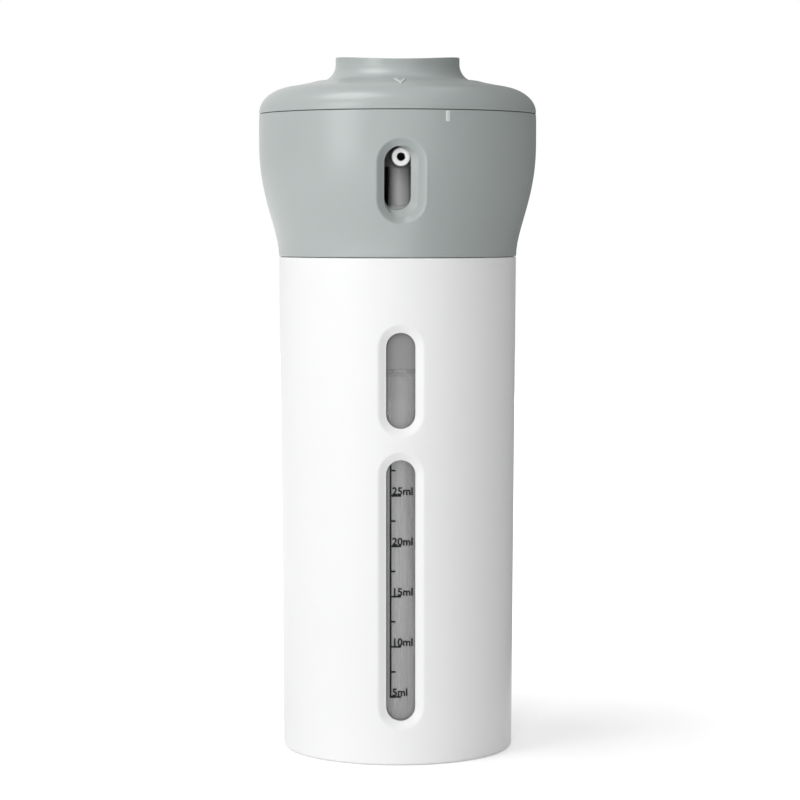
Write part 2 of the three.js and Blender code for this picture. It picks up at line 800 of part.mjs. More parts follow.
// Pump head: a button over the stem with a spout out to the window
function actuator() {
  const socket = stemRadius + seatGap;
  const skirt = actuatorRadius - actuatorWall;
  const hollowTop = actuatorBottom + actuatorHollow;
  const end = nozzleReach - pumpRadius - tipThickness - seatGap;
  const head = revolve(
    [
      at(0, stemTop + seatGap),
      at(socket, stemTop + seatGap),
      at(socket, actuatorBottom),
      at(socket + actuatorWall, actuatorBottom),
      at(socket + actuatorWall, hollowTop),
      at(skirt, hollowTop),
      at(skirt, actuatorBottom),
      at(actuatorRadius, actuatorBottom),
      at(actuatorRadius, actuatorTop - actuatorEdge),
      at(actuatorRadius - actuatorEdge, actuatorTop),
      at(0, actuatorTop),
    ],
    pumpHeadSides,
  );
  const spout = revolve([at(0, 0), at(spoutRadius, 0), at(spoutTipRadius, end), at(0, end)], pumpSides);
  const bore = disc(spoutBore, 0, end + over, pumpSides);
  const plugRoom = disc(tipPlugRadius + seatGap, end - tipPlug, end + over, pumpSides);
  const room = disc(socket, stemTop - stemPocket, stemTop + seatGap, pumpHeadSides);
  return head
    .add(alongX(spout, nozzleLevel).subtract(room))
    .subtract(alongX(bore.add(plugRoom), nozzleLevel));
}

// Ring pressed into the end of the spout
function nozzleTip() {
  const face = nozzleReach - pumpRadius;
  const back = face - tipThickness;
  const ring = revolve(
    [
      at(spoutBore, back - tipPlug),
      at(tipPlugRadius, back - tipPlug),
      at(tipPlugRadius, back),
      at(tipRadius, back),
      at(tipRadius, face - tipEdge),
      at(tipRadius - tipEdge, face),
      at(spoutBore, face),
    ],
    pumpSides,
  );
  return alongX(ring, nozzleLevel);
}

const mesh = (name, geometry, material) => {
  const node = new THREE.Mesh(geometry, material);
  node.name = name;
  return node;
};

const dispenser = new THREE.Group();

const head = [
  ['outer_sleeve', outerSleeve, white],
  ['head_collar', headCollar, grey],
  ['guide_deck', guideDeck, frosted],
  ['click_spring', clickSpring, steel],
  ['selector_cap', selectorCap, grey],
  ['press_button', pressButton, grey],
  ['button_spring', buttonSpring, steel],
  ['press_plunger', pressPlunger, pumpWhite],
  ['turntable', turntable, frosted],
  ['hub_clip', hubClip, steel],
];
for (const [name, build, material] of head) {
  dispenser.add(mesh(name, geometryOf(build()), material));
}

// One bottle with its closure, about the turntable's axis, and its pump, about its own
const vessel = [
  ['bottle', bottle, clear],
  ['closure', closure, frosted],
];
const pump = [
  ['neck_gasket', neckGasket, rubber],
  ['pump_housing', pumpHousing, pumpWhite],
  ['pump_gland', pumpGland, pumpWhite],
  ['inlet_ball', inletBall, steel],
  ['pump_spring', pumpSpring, steel],
  ['dip_tube', dipTube, pumpWhite],
  ['pump_piston', pumpPiston, pumpWhite],
  ['actuator', actuator, pumpWhite],
  ['nozzle_tip', nozzleTip, pumpWhite],
];
const stations = { front: -90, right: 0, back: 90, left: 180 };
const shape = Object.fromEntries([...vessel, ...pump].map(([name, build]) => [name, geometryOf(build())]));

for (const [side, angle] of Object.entries(stations)) {
  const station = new THREE.Group();
  const axis = new THREE.Group();
  station.rotation.z = radians(angle);
  axis.position.x = pumpRadius;
  vessel.forEach(([name, , material]) => station.add(mesh(`${name}_${side}`, shape[name], material)));
  pump.forEach(([name, , material]) => axis.add(mesh(`${name}_${side}`, shape[name], material)));
  station.add(axis);
  dispenser.add(station);
}

export default dispenser;
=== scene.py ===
"""Looks of the travel dispenser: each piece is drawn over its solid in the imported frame.

Sizes in the classes are millimetres, as in the part's source, and meshes are made in metres.
The windows face -Y, Z is up, and the sleeve stands on the floor at zero.
"""

from __future__ import annotations

import logging
import math
from dataclasses import dataclass
from enum import Enum
from functools import cache
from typing import Any, Callable, Iterable, Sequence

import bmesh
import bpy
from mathutils import Euler, Matrix, Vector
from mathutils.geometry import delaunay_2d_cdt, tessellate_polygon

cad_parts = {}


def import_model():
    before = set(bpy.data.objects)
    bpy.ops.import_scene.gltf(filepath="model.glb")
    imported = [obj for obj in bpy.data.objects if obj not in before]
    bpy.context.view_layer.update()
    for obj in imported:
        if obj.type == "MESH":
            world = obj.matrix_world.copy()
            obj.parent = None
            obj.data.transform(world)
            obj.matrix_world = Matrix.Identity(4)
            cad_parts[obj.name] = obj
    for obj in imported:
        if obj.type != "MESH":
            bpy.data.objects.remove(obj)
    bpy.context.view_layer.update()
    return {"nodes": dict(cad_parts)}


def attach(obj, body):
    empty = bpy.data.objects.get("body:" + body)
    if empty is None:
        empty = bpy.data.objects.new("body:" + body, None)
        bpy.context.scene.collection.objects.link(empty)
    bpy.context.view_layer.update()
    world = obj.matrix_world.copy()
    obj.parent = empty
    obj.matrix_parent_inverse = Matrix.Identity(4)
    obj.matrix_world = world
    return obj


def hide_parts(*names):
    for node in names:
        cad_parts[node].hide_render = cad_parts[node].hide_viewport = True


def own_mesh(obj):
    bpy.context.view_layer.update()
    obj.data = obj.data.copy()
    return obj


LOG = logging.getLogger("dispenser")
MM = 0.001
FRONT_ANGLE = -math.pi / 2
SHARP_EDGE = math.radians(34)
STRAIGHT_ANGLE = math.radians(160)
CORNER_SHARE = 0.45
LEAST_CORNER = 0.02
MERGE_GAP = 1e-7
PLANE_GAP = 1e-6
WHITE = (1.0, 1.0, 1.0, 1.0)

Flat = tuple[float, float]
Spot = tuple[float, float, float]
Colour = tuple[float, float, float]


class Station(Enum):
    """The four places on the turntable, with the way each one faces in degrees from +X."""

    FRONT = -90.0
    RIGHT = 0.0
    BACK = 90.0
    LEFT = 180.0

    @property
    def side(self) -> str:
        """The word that ends the names of this station's nodes."""
        return self.name.lower()

    def place(self, reach: float = 0.0) -> Matrix:
        """Turns a piece drawn about +X to this station, after moving it out by a reach."""
        turn = Matrix.Rotation(math.radians(self.value), 4, "Z")
        return turn @ Matrix.Translation((reach, 0.0, 0.0))


class Slot(Enum):
    """The record's material slots."""

    SHELL = "white_shell"
    HEAD = "grey_head"
    BOTTLE = "clear_bottle"
    INNER = "frosted_inner"
    PUMP = "pump_white"
    SEAL = "seal_rubber"
    STEEL = "spring_steel"


class Cut(Enum):
    """What a tool does to the piece it meets."""

    JOIN = "UNION"
    TAKE = "DIFFERENCE"


class Wiring:
    """Adds nodes to a tree and joins their sockets."""

    def __init__(self, tree: bpy.types.NodeTree) -> None:
        """Keeps the tree."""
        self.tree = tree

    def add(self, kind: str, feeds: dict[Any, Any] | None = None, **settings: Any) -> bpy.types.Node:
        """Adds a node.

        Args:
            kind: The node's type name.
            feeds: A socket or a plain value for each input, by the input's name or number.
            settings: Properties to set on it.

        Returns:
            The new node.
        """
        node = self.tree.nodes.new(kind)
        for label, value in settings.items():
            setattr(node, label, value)
        self.feed(node, feeds or {})
        return node

    def feed(self, node: bpy.types.Node, feeds: dict[Any, Any]) -> None:
        """Links sockets to a node's inputs, or sets the inputs to plain values."""
        for label, value in feeds.items():
            if isinstance(value, bpy.types.NodeSocket):
                self.tree.links.new(value, node.inputs[label])
            else:
                node.inputs[label].default_value = value

    def math(self, operation: str, *values: Any) -> bpy.types.NodeSocket:
        """Adds a Math node.

        Args:
            operation: The node's operation.
            values: A socket or number for each of its inputs.

        Returns:
            The output socket.
        """
        return self.add("ShaderNodeMath", dict(enumerate(values)), operation=operation).outputs[0]

    def vector(self, x: Any = 0.0, y: Any = 0.0, z: Any = 0.0) -> bpy.types.NodeSocket:
        """Adds a vector made of three numbers or sockets."""
        return self.add("ShaderNodeCombineXYZ", {"X": x, "Y": y, "Z": z}).outputs["Vector"]

    def scaled(self, vector: bpy.types.NodeSocket, factor: bpy.types.NodeSocket) -> bpy.types.NodeSocket:
        """Multiplies a vector or a colour by a number."""
        return self.add("ShaderNodeVectorMath", {0: vector, "Scale": factor}, operation="SCALE").outputs[0]

    def coords(self) -> bpy.types.NodeSocket:
        """Adds the piece's own coordinates."""
        return self.add("ShaderNodeTexCoord").outputs["Object"]

    def noise(self, vector: bpy.types.NodeSocket, scale: Any, detail: float) -> bpy.types.NodeSocket:
        """Adds a noise over a vector."""
        feeds = {"Vector": vector, "Scale": scale, "Detail": detail}
        return self.add("ShaderNodeTexNoise", feeds).outputs["Fac"]

    def bump(self, strength: float, depth: float, height: bpy.types.NodeSocket) -> bpy.types.NodeSocket:
        """Adds a normal bumped by a height, whose depth is in millimetres."""
        feeds = {"Strength": strength, "Distance": depth * MM, "Height": height}
        return self.add("ShaderNodeBump", feeds).outputs["Normal"]

    def ports(self, inputs: Iterable[tuple[str, str, Any]], outputs: Iterable[tuple[str, str]]) -> None:
        """Args:
            inputs: Name, socket type and default of each input; None leaves the default.
            outputs: Name and socket type of each output.
        """
        for name, kind, default in inputs:
            socket = self.tree.interface.new_socket(name, in_out="INPUT", socket_type=kind)
            if default is not None:
                socket.default_value = default
        for name, kind in outputs:
            self.tree.interface.new_socket(name, in_out="OUTPUT", socket_type=kind)


@cache
def moulded_surface() -> bpy.types.ShaderNodeTree:
    """The skin of moulded plastic: a fine spark texture, drifting tone and drifting gloss.

    Returns:
        The shader group, built once.
    """
    tree = bpy.data.node_groups.new("moulded_surface", "ShaderNodeTree")
    wires = Wiring(tree)
    wires.ports(
        [
            ("Colour", "NodeSocketColor", None),
            ("Tone Drift", "NodeSocketFloat", 0.02),
            ("Roughness", "NodeSocketFloat", 0.4),
            ("Gloss Drift", "NodeSocketFloat", 0.05),
            ("Spark Scale", "NodeSocketFloat", 2600.0),
            ("Drift Scale", "NodeSocketFloat", 34.0),
        ],
        [
            ("Colour", "NodeSocketColor"),
            ("Roughness", "NodeSocketFloat"),
            ("Height", "NodeSocketFloat"),
        ],
    )
    source = wires.add("NodeGroupInput").outputs
    coords = wires.coords()
    spark = wires.noise(coords, source["Spark Scale"], 2.0)
    drift = wires.noise(coords, source["Drift Scale"], 3.0)
    swing = wires.math("SUBTRACT", drift, 0.5)
    speckle = wires.math("SUBTRACT", spark, 0.5)
    tone = wires.math("MULTIPLY_ADD", swing, source["Tone Drift"], 1.0)
    gloss = wires.math("ADD", swing, speckle)
    rough = wires.math("MULTIPLY_ADD", gloss, source["Gloss Drift"], source["Roughness"])
    tinted = wires.scaled(source["Colour"], tone)
    wires.add("NodeGroupOutput", {"Colour": tinted, "Roughness": rough, "Height": spark})
    return tree


def shaded(name: str) -> tuple[bpy.types.Material, Wiring, bpy.types.Node]:
    """Makes a material and gives it with its tree and its Principled BSDF."""
    material = bpy.data.materials.new(name)
    material.use_nodes = True
    return material, Wiring(material.node_tree), material.node_tree.nodes["Principled BSDF"]


class Finish:
    """A finish that pieces share: its material is made on first use."""

    name: str
    colour: Colour

    def material(self) -> bpy.types.Material:
        """The finish's material, made once."""
        if self.name in bpy.data.materials:
            return bpy.data.materials[self.name]
        material, wires, shader = shaded(self.name)
        self.wire(wires, shader)
        return material

    def skin(self, wires: Wiring, values: dict[str, float]) -> bpy.types.bpy_prop_collection:
        """Adds the moulded skin in the finish's colour and gives its outputs."""
        feeds = {"Colour": (*self.colour, 1.0), **values}
        return wires.add("ShaderNodeGroup", feeds, node_tree=moulded_surface()).outputs

    def wire(self, wires: Wiring, shader: bpy.types.Node) -> None:
        """Sets the shader and joins the nodes that feed it."""
        raise NotImplementedError


@dataclass(frozen=True)
class Plastic(Finish):
    """Moulded plastic: satin or glossy by its roughness, with a spark texture of a given depth."""

    name: str
    colour: Colour
    roughness: float
    tone: float = 0.03
    gloss: float = 0.06
    grain: float = 0.02
    bump: float = 0.35
    specular: float = 0.5

    def wire(self, wires: Wiring, shader: bpy.types.Node) -> None:
        """Feeds the shader from the moulded skin.

        Args:
            wires: The material's tree.
            shader: Its Principled BSDF.
        """
        values = {"Tone Drift": self.tone, "Roughness": self.roughness, "Gloss Drift": self.gloss}
        skin = self.skin(wires, values)
        feeds = {
            "Base Color": skin["Colour"],
            "Roughness": skin["Roughness"],
            "Normal": wires.bump(self.bump, self.grain, skin["Height"]),
            "Specular IOR Level": self.specular,
        }
        wires.feed(shader, feeds)


@dataclass(frozen=True)
class ClearPlastic(Finish):
    """Blown clear plastic with upright streaks: their bump and roughness are the flow lines that blowing
    leaves in its skin, and their swing in colour is painted reflection, a streaky sheen.
    """

    name: str
    colour: Colour
    roughness: float
    transmission: float
    streak_scale: float = 420.0
    streak_detail: float = 2.0
    stretch: float = 0.02
    streak_depth: float = 0.05
    painted_streak_sheen: float = 0.6
    bump: float = 0.4
    ior: float = 1.49

    def wire(self, wires: Wiring, shader: bpy.types.Node) -> None:
        """Feeds the tone, with its painted reflection, and the roughness and bump from the streaks.

        Args:
            wires: The material's tree.
            shader: Its Principled BSDF.
        """
        squeeze = {"Vector": wires.coords(), "Scale": (1.0, 1.0, self.stretch)}
        upright = wires.add("ShaderNodeMapping", squeeze).outputs["Vector"]
        streaks = wires.noise(upright, self.streak_scale, self.streak_detail)
        skin = self.skin(wires, {"Roughness": self.roughness})
        # Painted reflection: the colour swings lighter and darker along the upright streaks.
        tone = wires.math("MULTIPLY_ADD", streaks, self.painted_streak_sheen, 1 - self.painted_streak_sheen / 2)
        feeds = {
            "Base Color": wires.scaled(skin["Colour"], tone),
            "Roughness": wires.math("MULTIPLY_ADD", streaks, self.roughness, skin["Roughness"]),
            "Normal": wires.bump(self.bump, self.streak_depth, streaks),
            "Transmission Weight": self.transmission,
            "IOR": self.ior,
        }
        wires.feed(shader, feeds)


@dataclass(frozen=True)
class Steel(Finish):
    """Drawn spring steel, with fine die lines along its grain."""

    name: str
    colour: Colour
    roughness: float
    line_scale: float = 5200.0
    line_detail: float = 3.0
    line_depth: float = 0.01
    bump: float = 0.2

    def wire(self, wires: Wiring, shader: bpy.types.Node) -> None:
        """Feeds roughness and bump from the die lines.

        Args:
            wires: The material's tree.
            shader: Its Principled BSDF.
        """
        lines = wires.noise(wires.coords(), self.line_scale, self.line_detail)
        feeds = {
            "Base Color": self.skin(wires, {})["Colour"],
            "Roughness": wires.math("MULTIPLY_ADD", lines, self.roughness, self.roughness / 2),
            "Normal": wires.bump(self.bump, self.line_depth, lines),
            "Metallic": 1.0,
        }
        wires.feed(shader, feeds)


class Finishes:
    """Every finish of the dispenser."""

    SHELL = Plastic(
        "white_shell_gloss", (0.89, 0.894, 0.892), 0.33, tone=0.015, gloss=0.04, grain=0.006, specular=0.15
    )
    HEAD = Plastic(
        "grey_head_satin", (0.385, 0.421, 0.413), 0.31, tone=0.03, gloss=0.06, grain=0.015, specular=0.75
    )
    BUTTON = Plastic("grey_button_satin", (0.37, 0.405, 0.398), 0.42, tone=0.03, gloss=0.08, grain=0.025)
    MARK = Plastic("pale_mark_moulding", (0.66, 0.69, 0.68), 0.4, tone=0.03, gloss=0.05, grain=0.01)
    BOTTLE = ClearPlastic("clear_bottle_blown", (0.79, 0.792, 0.79), 0.07, 0.72, painted_streak_sheen=0.35)
    TUBE = ClearPlastic("dip_tube_natural", (0.84, 0.86, 0.85), 0.22, 0.35)
    INNER = Plastic("frosted_inner_grey", (0.275, 0.277, 0.275), 0.48, tone=0.06, gloss=0.08, grain=0.03)
    # Painted shade: the actuator is made darker than the white pump pieces, for the shade round the nozzle
    # ring deep in the window.
    ACTUATOR = Plastic("actuator_grey", (0.4, 0.399, 0.397), 0.42, tone=0.04, gloss=0.06, grain=0.02)
    PUMP = Plastic("pump_white_gloss", (0.9, 0.905, 0.9), 0.3, tone=0.02, gloss=0.05, grain=0.008)
    SEAL = Plastic("seal_rubber_black", (0.045, 0.047, 0.048), 0.72, tone=0.2, gloss=0.1, grain=0.05)
    STEEL = Steel("spring_steel_drawn", (0.62, 0.63, 0.64), 0.24)
    INK = Plastic("scale_ink", (0.006, 0.006, 0.007), 0.5, tone=0.3, gloss=0.1, grain=0.01, specular=0.15)


def circle(x: float, y: float, radius: float, start: float, end: float, steps: int) -> list[Flat]:
    """Points along an arc.

    Args:
        x: Centre of the arc.
        y: Centre of the arc.
        radius: Its radius.
        start: First angle in radians.
        end: Last angle in radians.
        steps: Number of pieces.

    Returns:
        The points, one more than the steps.
    """
    angles = [start + (end - start) * i / steps for i in range(steps + 1)]
    return [(x + radius * math.cos(a), y + radius * math.sin(a)) for a in angles]


def polygon(x: float, y: float, radius: float, sides: int, start: float = 0.0) -> list[Flat]:
    """Corners of a regular polygon, or of a circle drawn with many sides."""
    return circle(x, y, radius, start, start + 2 * math.pi, sides)[:-1]


def rectangle(start: float, end: float, width: float) -> list[Flat]:
    """Outline of a bar along X."""
    low, high = min(start, end), max(start, end)
    half = width / 2
    return [(low, -half), (high, -half), (high, half), (low, half)]


def bezier(points: Sequence[Flat], steps: int) -> list[Flat]:
    """Points along a cubic curve.

    Args:
        points: Its four control points.
        steps: Number of pieces.

    Returns:
        The points, one more than the steps.
    """
    found = []
    for i in range(steps + 1):
        t = i / steps
        weights = ((1 - t) ** 3, 3 * t * (1 - t) ** 2, 3 * t * t * (1 - t), t**3)
        found.append(tuple(sum(w * p[k] for w, p in zip(weights, points)) for k in range(2)))
    return found


def eased(profile: Sequence[Flat], radius: float, steps: int = 3) -> list[Flat]:
    """Rounds the corners of a profile, as a mould does.

    Args:
        profile: The corners; the first and last stay where they are.
        radius: How far along each side a corner's rounding reaches.
        steps: Number of pieces in each rounding.

    Returns:
        The rounded profile.
    """
    points = [Vector(p) for p in profile]
    found = [points[0]]
    for before, corner, after in zip(points, points[1:], points[2:]):
        back, on = before - corner, after - corner
        shortest = min(back.length, on.length)
        reach = min(radius, CORNER_SHARE * shortest)
        if shortest < MERGE_GAP or reach < LEAST_CORNER or back.angle(on) > STRAIGHT_ANGLE:
            found.append(corner)
            continue
        start, end = corner + back.normalized() * reach, corner + on.normalized() * reach
        for i in range(steps + 1):
            t = i / steps
            found.append(start * (1 - t) ** 2 + corner * 2 * t * (1 - t) + end * t * t)
    found.append(points[-1])
    return [tuple(p) for p in found]


def inside(point: Flat, outline: Sequence[Flat]) -> bool:
    """Tells whether a point lies in an outline."""
    x, y = point
    crossed = False
    for (ax, ay), (bx, by) in zip(outline, [*outline[1:], outline[0]]):
        if (ay > y) != (by > y) and x < ax + (y - ay) * (bx - ax) / (by - ay):
            crossed = not crossed
    return crossed


def settle(mesh: bpy.types.Mesh) -> None:
    """Merges doubles, turns faces out and shades a closed mesh smooth between its sharp edges."""
    form = bmesh.new()
    form.from_mesh(mesh)
    bmesh.ops.remove_doubles(form, verts=form.verts, dist=MERGE_GAP)
    bmesh.ops.dissolve_degenerate(form, edges=form.edges, dist=MERGE_GAP)
    bmesh.ops.recalc_face_normals(form, faces=form.faces)
    form.to_mesh(mesh)
    form.free()
    mesh.shade_smooth()
    mesh.set_sharp_from_angle(angle=SHARP_EDGE)


class MeshSketch:
    """Points and faces of a piece that is being drawn, in millimetres."""

    def __init__(self, sides: int = 64) -> None:
        """Starts empty, with the number of columns that rings have."""
        self.points: list[Vector] = []
        self.faces: list[tuple[int, ...]] = []
        self.sides = sides

    def add(self, points: Iterable[Sequence[float]]) -> list[int]:
        """Adds points and gives their indices."""
        first = len(self.points)
        self.points.extend(Vector(p) for p in points)
        return list(range(first, len(self.points)))

    def ring(self, radius: float, level: float) -> list[int]:
        """Adds a level ring about Z that starts at the front."""
        turn = 2 * math.pi / self.sides
        angles = [FRONT_ANGLE + turn * j for j in range(self.sides)]
        return self.add((radius * math.cos(a), radius * math.sin(a), level) for a in angles)

    def strip(self, low: Sequence[int], high: Sequence[int], closed: bool = True) -> None:
        """Joins two rows of equally many points with quads."""
        count = len(low)
        for j in range(count if closed else count - 1):
            after = (j + 1) % count
            self.faces.append((low[j], low[after], high[after], high[j]))

    def stack(self, rings: Sequence[Sequence[int]]) -> None:
        """Joins each ring to the next."""
        for before, after in zip(rings, rings[1:]):
            self.strip(before, after)

    def tip(self, ring: Sequence[int], level: float) -> None:
        """Closes a ring with a fan to a point on the axis."""
        (middle,) = self.add([(0.0, 0.0, level)])
        for j, corner in enumerate(ring):
            self.faces.append((corner, ring[(j + 1) % len(ring)], middle))

    def fill(self, *loops: Sequence[int]) -> None:
        """Fills a flat outline, the first loop, round the holes, the other loops."""
        index = [i for loop in loops for i in loop]
        flat = [[self.points[i] for i in loop] for loop in loops]
        for corners in tessellate_polygon(flat):
            self.faces.append(tuple(index[i] for i in corners))

    def chain(
        self,
        start: Sequence[int],
        profile: Iterable[Flat],
        end: Sequence[int] | None = None,
    ) -> list[int]:
        """Carries a ring along a profile.

        Args:
            start: The ring to start from.
            profile: Radius and level of each further ring; radius zero closes on the axis.
            end: A ring to close on.

        Returns:
            The last ring.
        """
        last = list(start)
        for radius, level in profile:
            if radius < MERGE_GAP:
                self.tip(last, level)
                return last
            ring = self.ring(radius, level)
            self.strip(last, ring)
            last = ring
        if end is not None:
            self.strip(last, end)
        return last

    def lathe(self, profile: Sequence[Flat]) -> None:
        """Turns a profile about Z: it closes on the axis where it meets it, or else on itself."""
        first = profile[0]
        if first[0] < MERGE_GAP:
            ring = self.ring(*profile[1])
            self.tip(ring, first[1])
            self.chain(ring, profile[2:])
            return
        ring = self.ring(*first)
        self.chain(ring, profile[1:], ring)

    def prism(self, outline: Sequence[Flat], low: float, high: float) -> None:
        """Raises an outline from one level to another."""
        bottom = self.add((x, y, low) for x, y in outline)
        top = self.add((x, y, high) for x, y in outline)
        self.strip(bottom, top)
        self.fill(bottom)
        self.fill(top)

    def turned(self, matrix: Matrix) -> MeshSketch:
        """Moves every point and gives the sketch back."""
        self.points = [matrix @ p for p in self.points]
        return self

    def mesh(self, name: str, place: Matrix = Matrix.Identity(4)) -> bpy.types.Mesh:
        """Makes the mesh.

        Args:
            name: The mesh's name.
            place: Where it goes, in millimetres.

        Returns:
            The settled mesh, in metres.
        """
        mesh = bpy.data.meshes.new(name)
        mesh.from_pydata([(place @ p) * MM for p in self.points], [], self.faces)
        settle(mesh)
        return mesh


def placed(name: str, data: bpy.types.ID) -> bpy.types.Object:
    """Makes an object and links it to the scene."""
    thing = bpy.data.objects.new(name, data)
    bpy.context.scene.collection.objects.link(thing)
    return thing


def evaluated(name: str, holder: bpy.types.Object, *tools: bpy.types.Object) -> bpy.types.Mesh:
    """Keeps what a helper object makes as a plain mesh, and removes the helper.

    Args:
        name: The mesh's name.
        holder: The helper, with its modifiers or its text.
        tools: Other helpers that it uses, which are removed too.

    Returns:
        The mesh.
    """
    graph = bpy.context.evaluated_depsgraph_get()
    mesh = bpy.data.meshes.new_from_object(holder.evaluated_get(graph))
    mesh.name = name
    for helper in (holder, *tools):
        data = helper.data
        bpy.data.objects.remove(helper)
        store = bpy.data.meshes if isinstance(data, bpy.types.Mesh) else bpy.data.curves
        store.remove(data)
    return mesh


def worked(name: str, body: MeshSketch, tools: Iterable[tuple[Cut, MeshSketch]]) -> bpy.types.Mesh:
    """Joins tools to a body or takes them from it.

    Args:
        name: The mesh's name.
        body: What is worked.
        tools: What is done, and with what.

    Returns:
        The settled mesh.
    """
    holder = placed(name, body.mesh(f"{name}_body"))
    helpers = []
    for cut, sketch in tools:
        helpers.append(placed(f"{name}_tool", sketch.mesh(f"{name}_tool")))
        modifier = holder.modifiers.new(cut.name, "BOOLEAN")
        modifier.operation = cut.value
        modifier.solver = "EXACT"
        modifier.object = helpers[-1]
    mesh = evaluated(name, holder, *helpers)
    settle(mesh)
    return mesh


def in_metres(place: Matrix) -> Matrix:
    """A place in metres that is given in millimetres."""
    moved = place.copy()
    moved.translation *= MM
    return moved


def copied(mesh: bpy.types.Mesh, name: str, place: Matrix) -> bpy.types.Mesh:
    """Copies a mesh to a place in millimetres."""
    twin = mesh.copy()
    twin.name = name
    twin.transform(in_metres(place))
    return twin


class Bench:
    """Sets finished pieces on the bodies of the frame."""

    def __init__(self, nodes: dict[str, bpy.types.Object]) -> None:
        """Keeps the frame's nodes."""
        self.nodes = nodes

    def fit(
        self,
        mesh: bpy.types.Mesh,
        finish: Finish,
        body: str,
        slot: Slot | None = None,
        stands_for: Sequence[str] = (),
    ) -> bpy.types.Object:
        """Makes a piece of a mesh and sets it on its body.

        Args:
            mesh: The finished mesh, whose name the piece takes.
            finish: What the piece is made of.
            body: The body that it moves with.
            slot: The record's material slot of its finish; not used.
            stands_for: The nodes that it replaces.

        Returns:
            The piece.
        """
        mesh.materials.clear()
        mesh.materials.append(finish.material())
        piece = placed(mesh.name, mesh)
        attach(piece, body)
        if stands_for:
            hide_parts(*stands_for)
        LOG.info("%s: %d faces on %s", piece.name, len(mesh.polygons), body)
        return piece

    def dress(self, node: str, finish: Finish) -> None:
        """Gives a node that stays as it is a finish."""
        for slot in self.nodes[node].material_slots:
            slot.material = finish.material()
        LOG.info("%s: kept, with %s", node, finish.name)


@dataclass(frozen=True)
class Opening:
    """Upright oval window in the front of a wall, with a soft bevel and a crisp inner edge."""

    width: float
    base: float
    height: float
    side_steps: int
    bevel: float = 1.95
    depth: float = 1.3
    soft: float = 0.35
    margin: float = 0.15
    flank: Flat = (1.0, 0.6)
    lip: float = 0.15
    lift: float = 0.8
    taper: float = 0.0
    boss: float = 0.0
    lean: float = 0.0
    mouth_draft: float = 0.15
    mouth_ease: float = 0.4
    mouth_edge: float = 0.15
    mouth_root: float = 0.22
    soft_steps: int = 8
    lip_steps: int = 4
    end_steps: int = 18

    @property
    def border(self) -> float:
        """Offset of the ring where the bevel has run out into the wall."""
        return self.bevel + self.soft + self.margin

    def outline(self, offset: float) -> list[Flat]:
        """The oval grown by an offset.

        Args:
            offset: How far it is grown; a shrunk oval is also lifted, and moved aside by its lean.

        Returns:
            Points of distance from the middle and level, anticlockwise.
        """
        radius = self.width / 2 + offset
        reach = (self.height - self.width) / 2
        middle = self.base + self.height / 2 + max(0.0, -self.lift * offset)
        shares = [1 - 2 * i / self.side_steps for i in range(1, self.side_steps)]
        aside = min(0.0, offset) * self.lean
        top = circle(aside, middle + reach, radius, 0, math.pi, self.end_steps)
        foot = circle(aside, middle - reach, radius, math.pi, 2 * math.pi, self.end_steps)
        left = [(aside - radius, middle + s * reach) for s in shares]
        right = [(aside + radius, middle - s * reach) for s in shares]
        return [*top, *left, *foot, *right]

    def sink(self, offset: float) -> float:
        """Depth of the bevel under the wall at an offset from the window."""
        slope = self.depth / self.bevel
        beyond = offset - self.bevel
        if beyond >= self.soft:
            return 0.0
        if beyond <= -self.soft:
            return -slope * beyond
        return slope * (self.soft - beyond) ** 2 / (4 * self.soft)

    def steps(self) -> list[Flat]:
        """Offset and depth of each ring from the border in to the window's edge."""
        shares = [1 - 2 * i / self.soft_steps for i in range(self.soft_steps + 1)]
        offsets = [*(self.bevel + self.soft * s for s in shares), *self.flank, self.lip]
        found = [(d, self.sink(d)) for d in offsets]
        foot = self.sink(self.lip)
        for i in range(1, self.lip_steps + 1):
            angle = math.pi / 2 * i / self.lip_steps
            found.append((self.lip * (1 - math.sin(angle)), foot + self.lip * (1 - math.cos(angle))))
        return found

    def throat(self, wall: float) -> list[Flat]:
        """Offset and depth of each ring from the window's edge to the back of the wall.

        Args:
            wall: Thickness of the wall.

        Returns:
            The rings; with a boss they pass down a tapered mouth and back round it.
        """
        if self.boss <= 0:
            return [(0.0, wall)]
        end = wall + self.boss
        rim = self.boss / 3
        draft, ease = self.mouth_draft * rim, self.mouth_ease * rim
        return [
            (draft - self.taper, end - rim),
            (-self.taper, end - ease),
            (ease - self.taper, end),
            (-self.mouth_edge, end),
            (self.mouth_edge, end - rim),
            (self.mouth_root, wall),
        ]


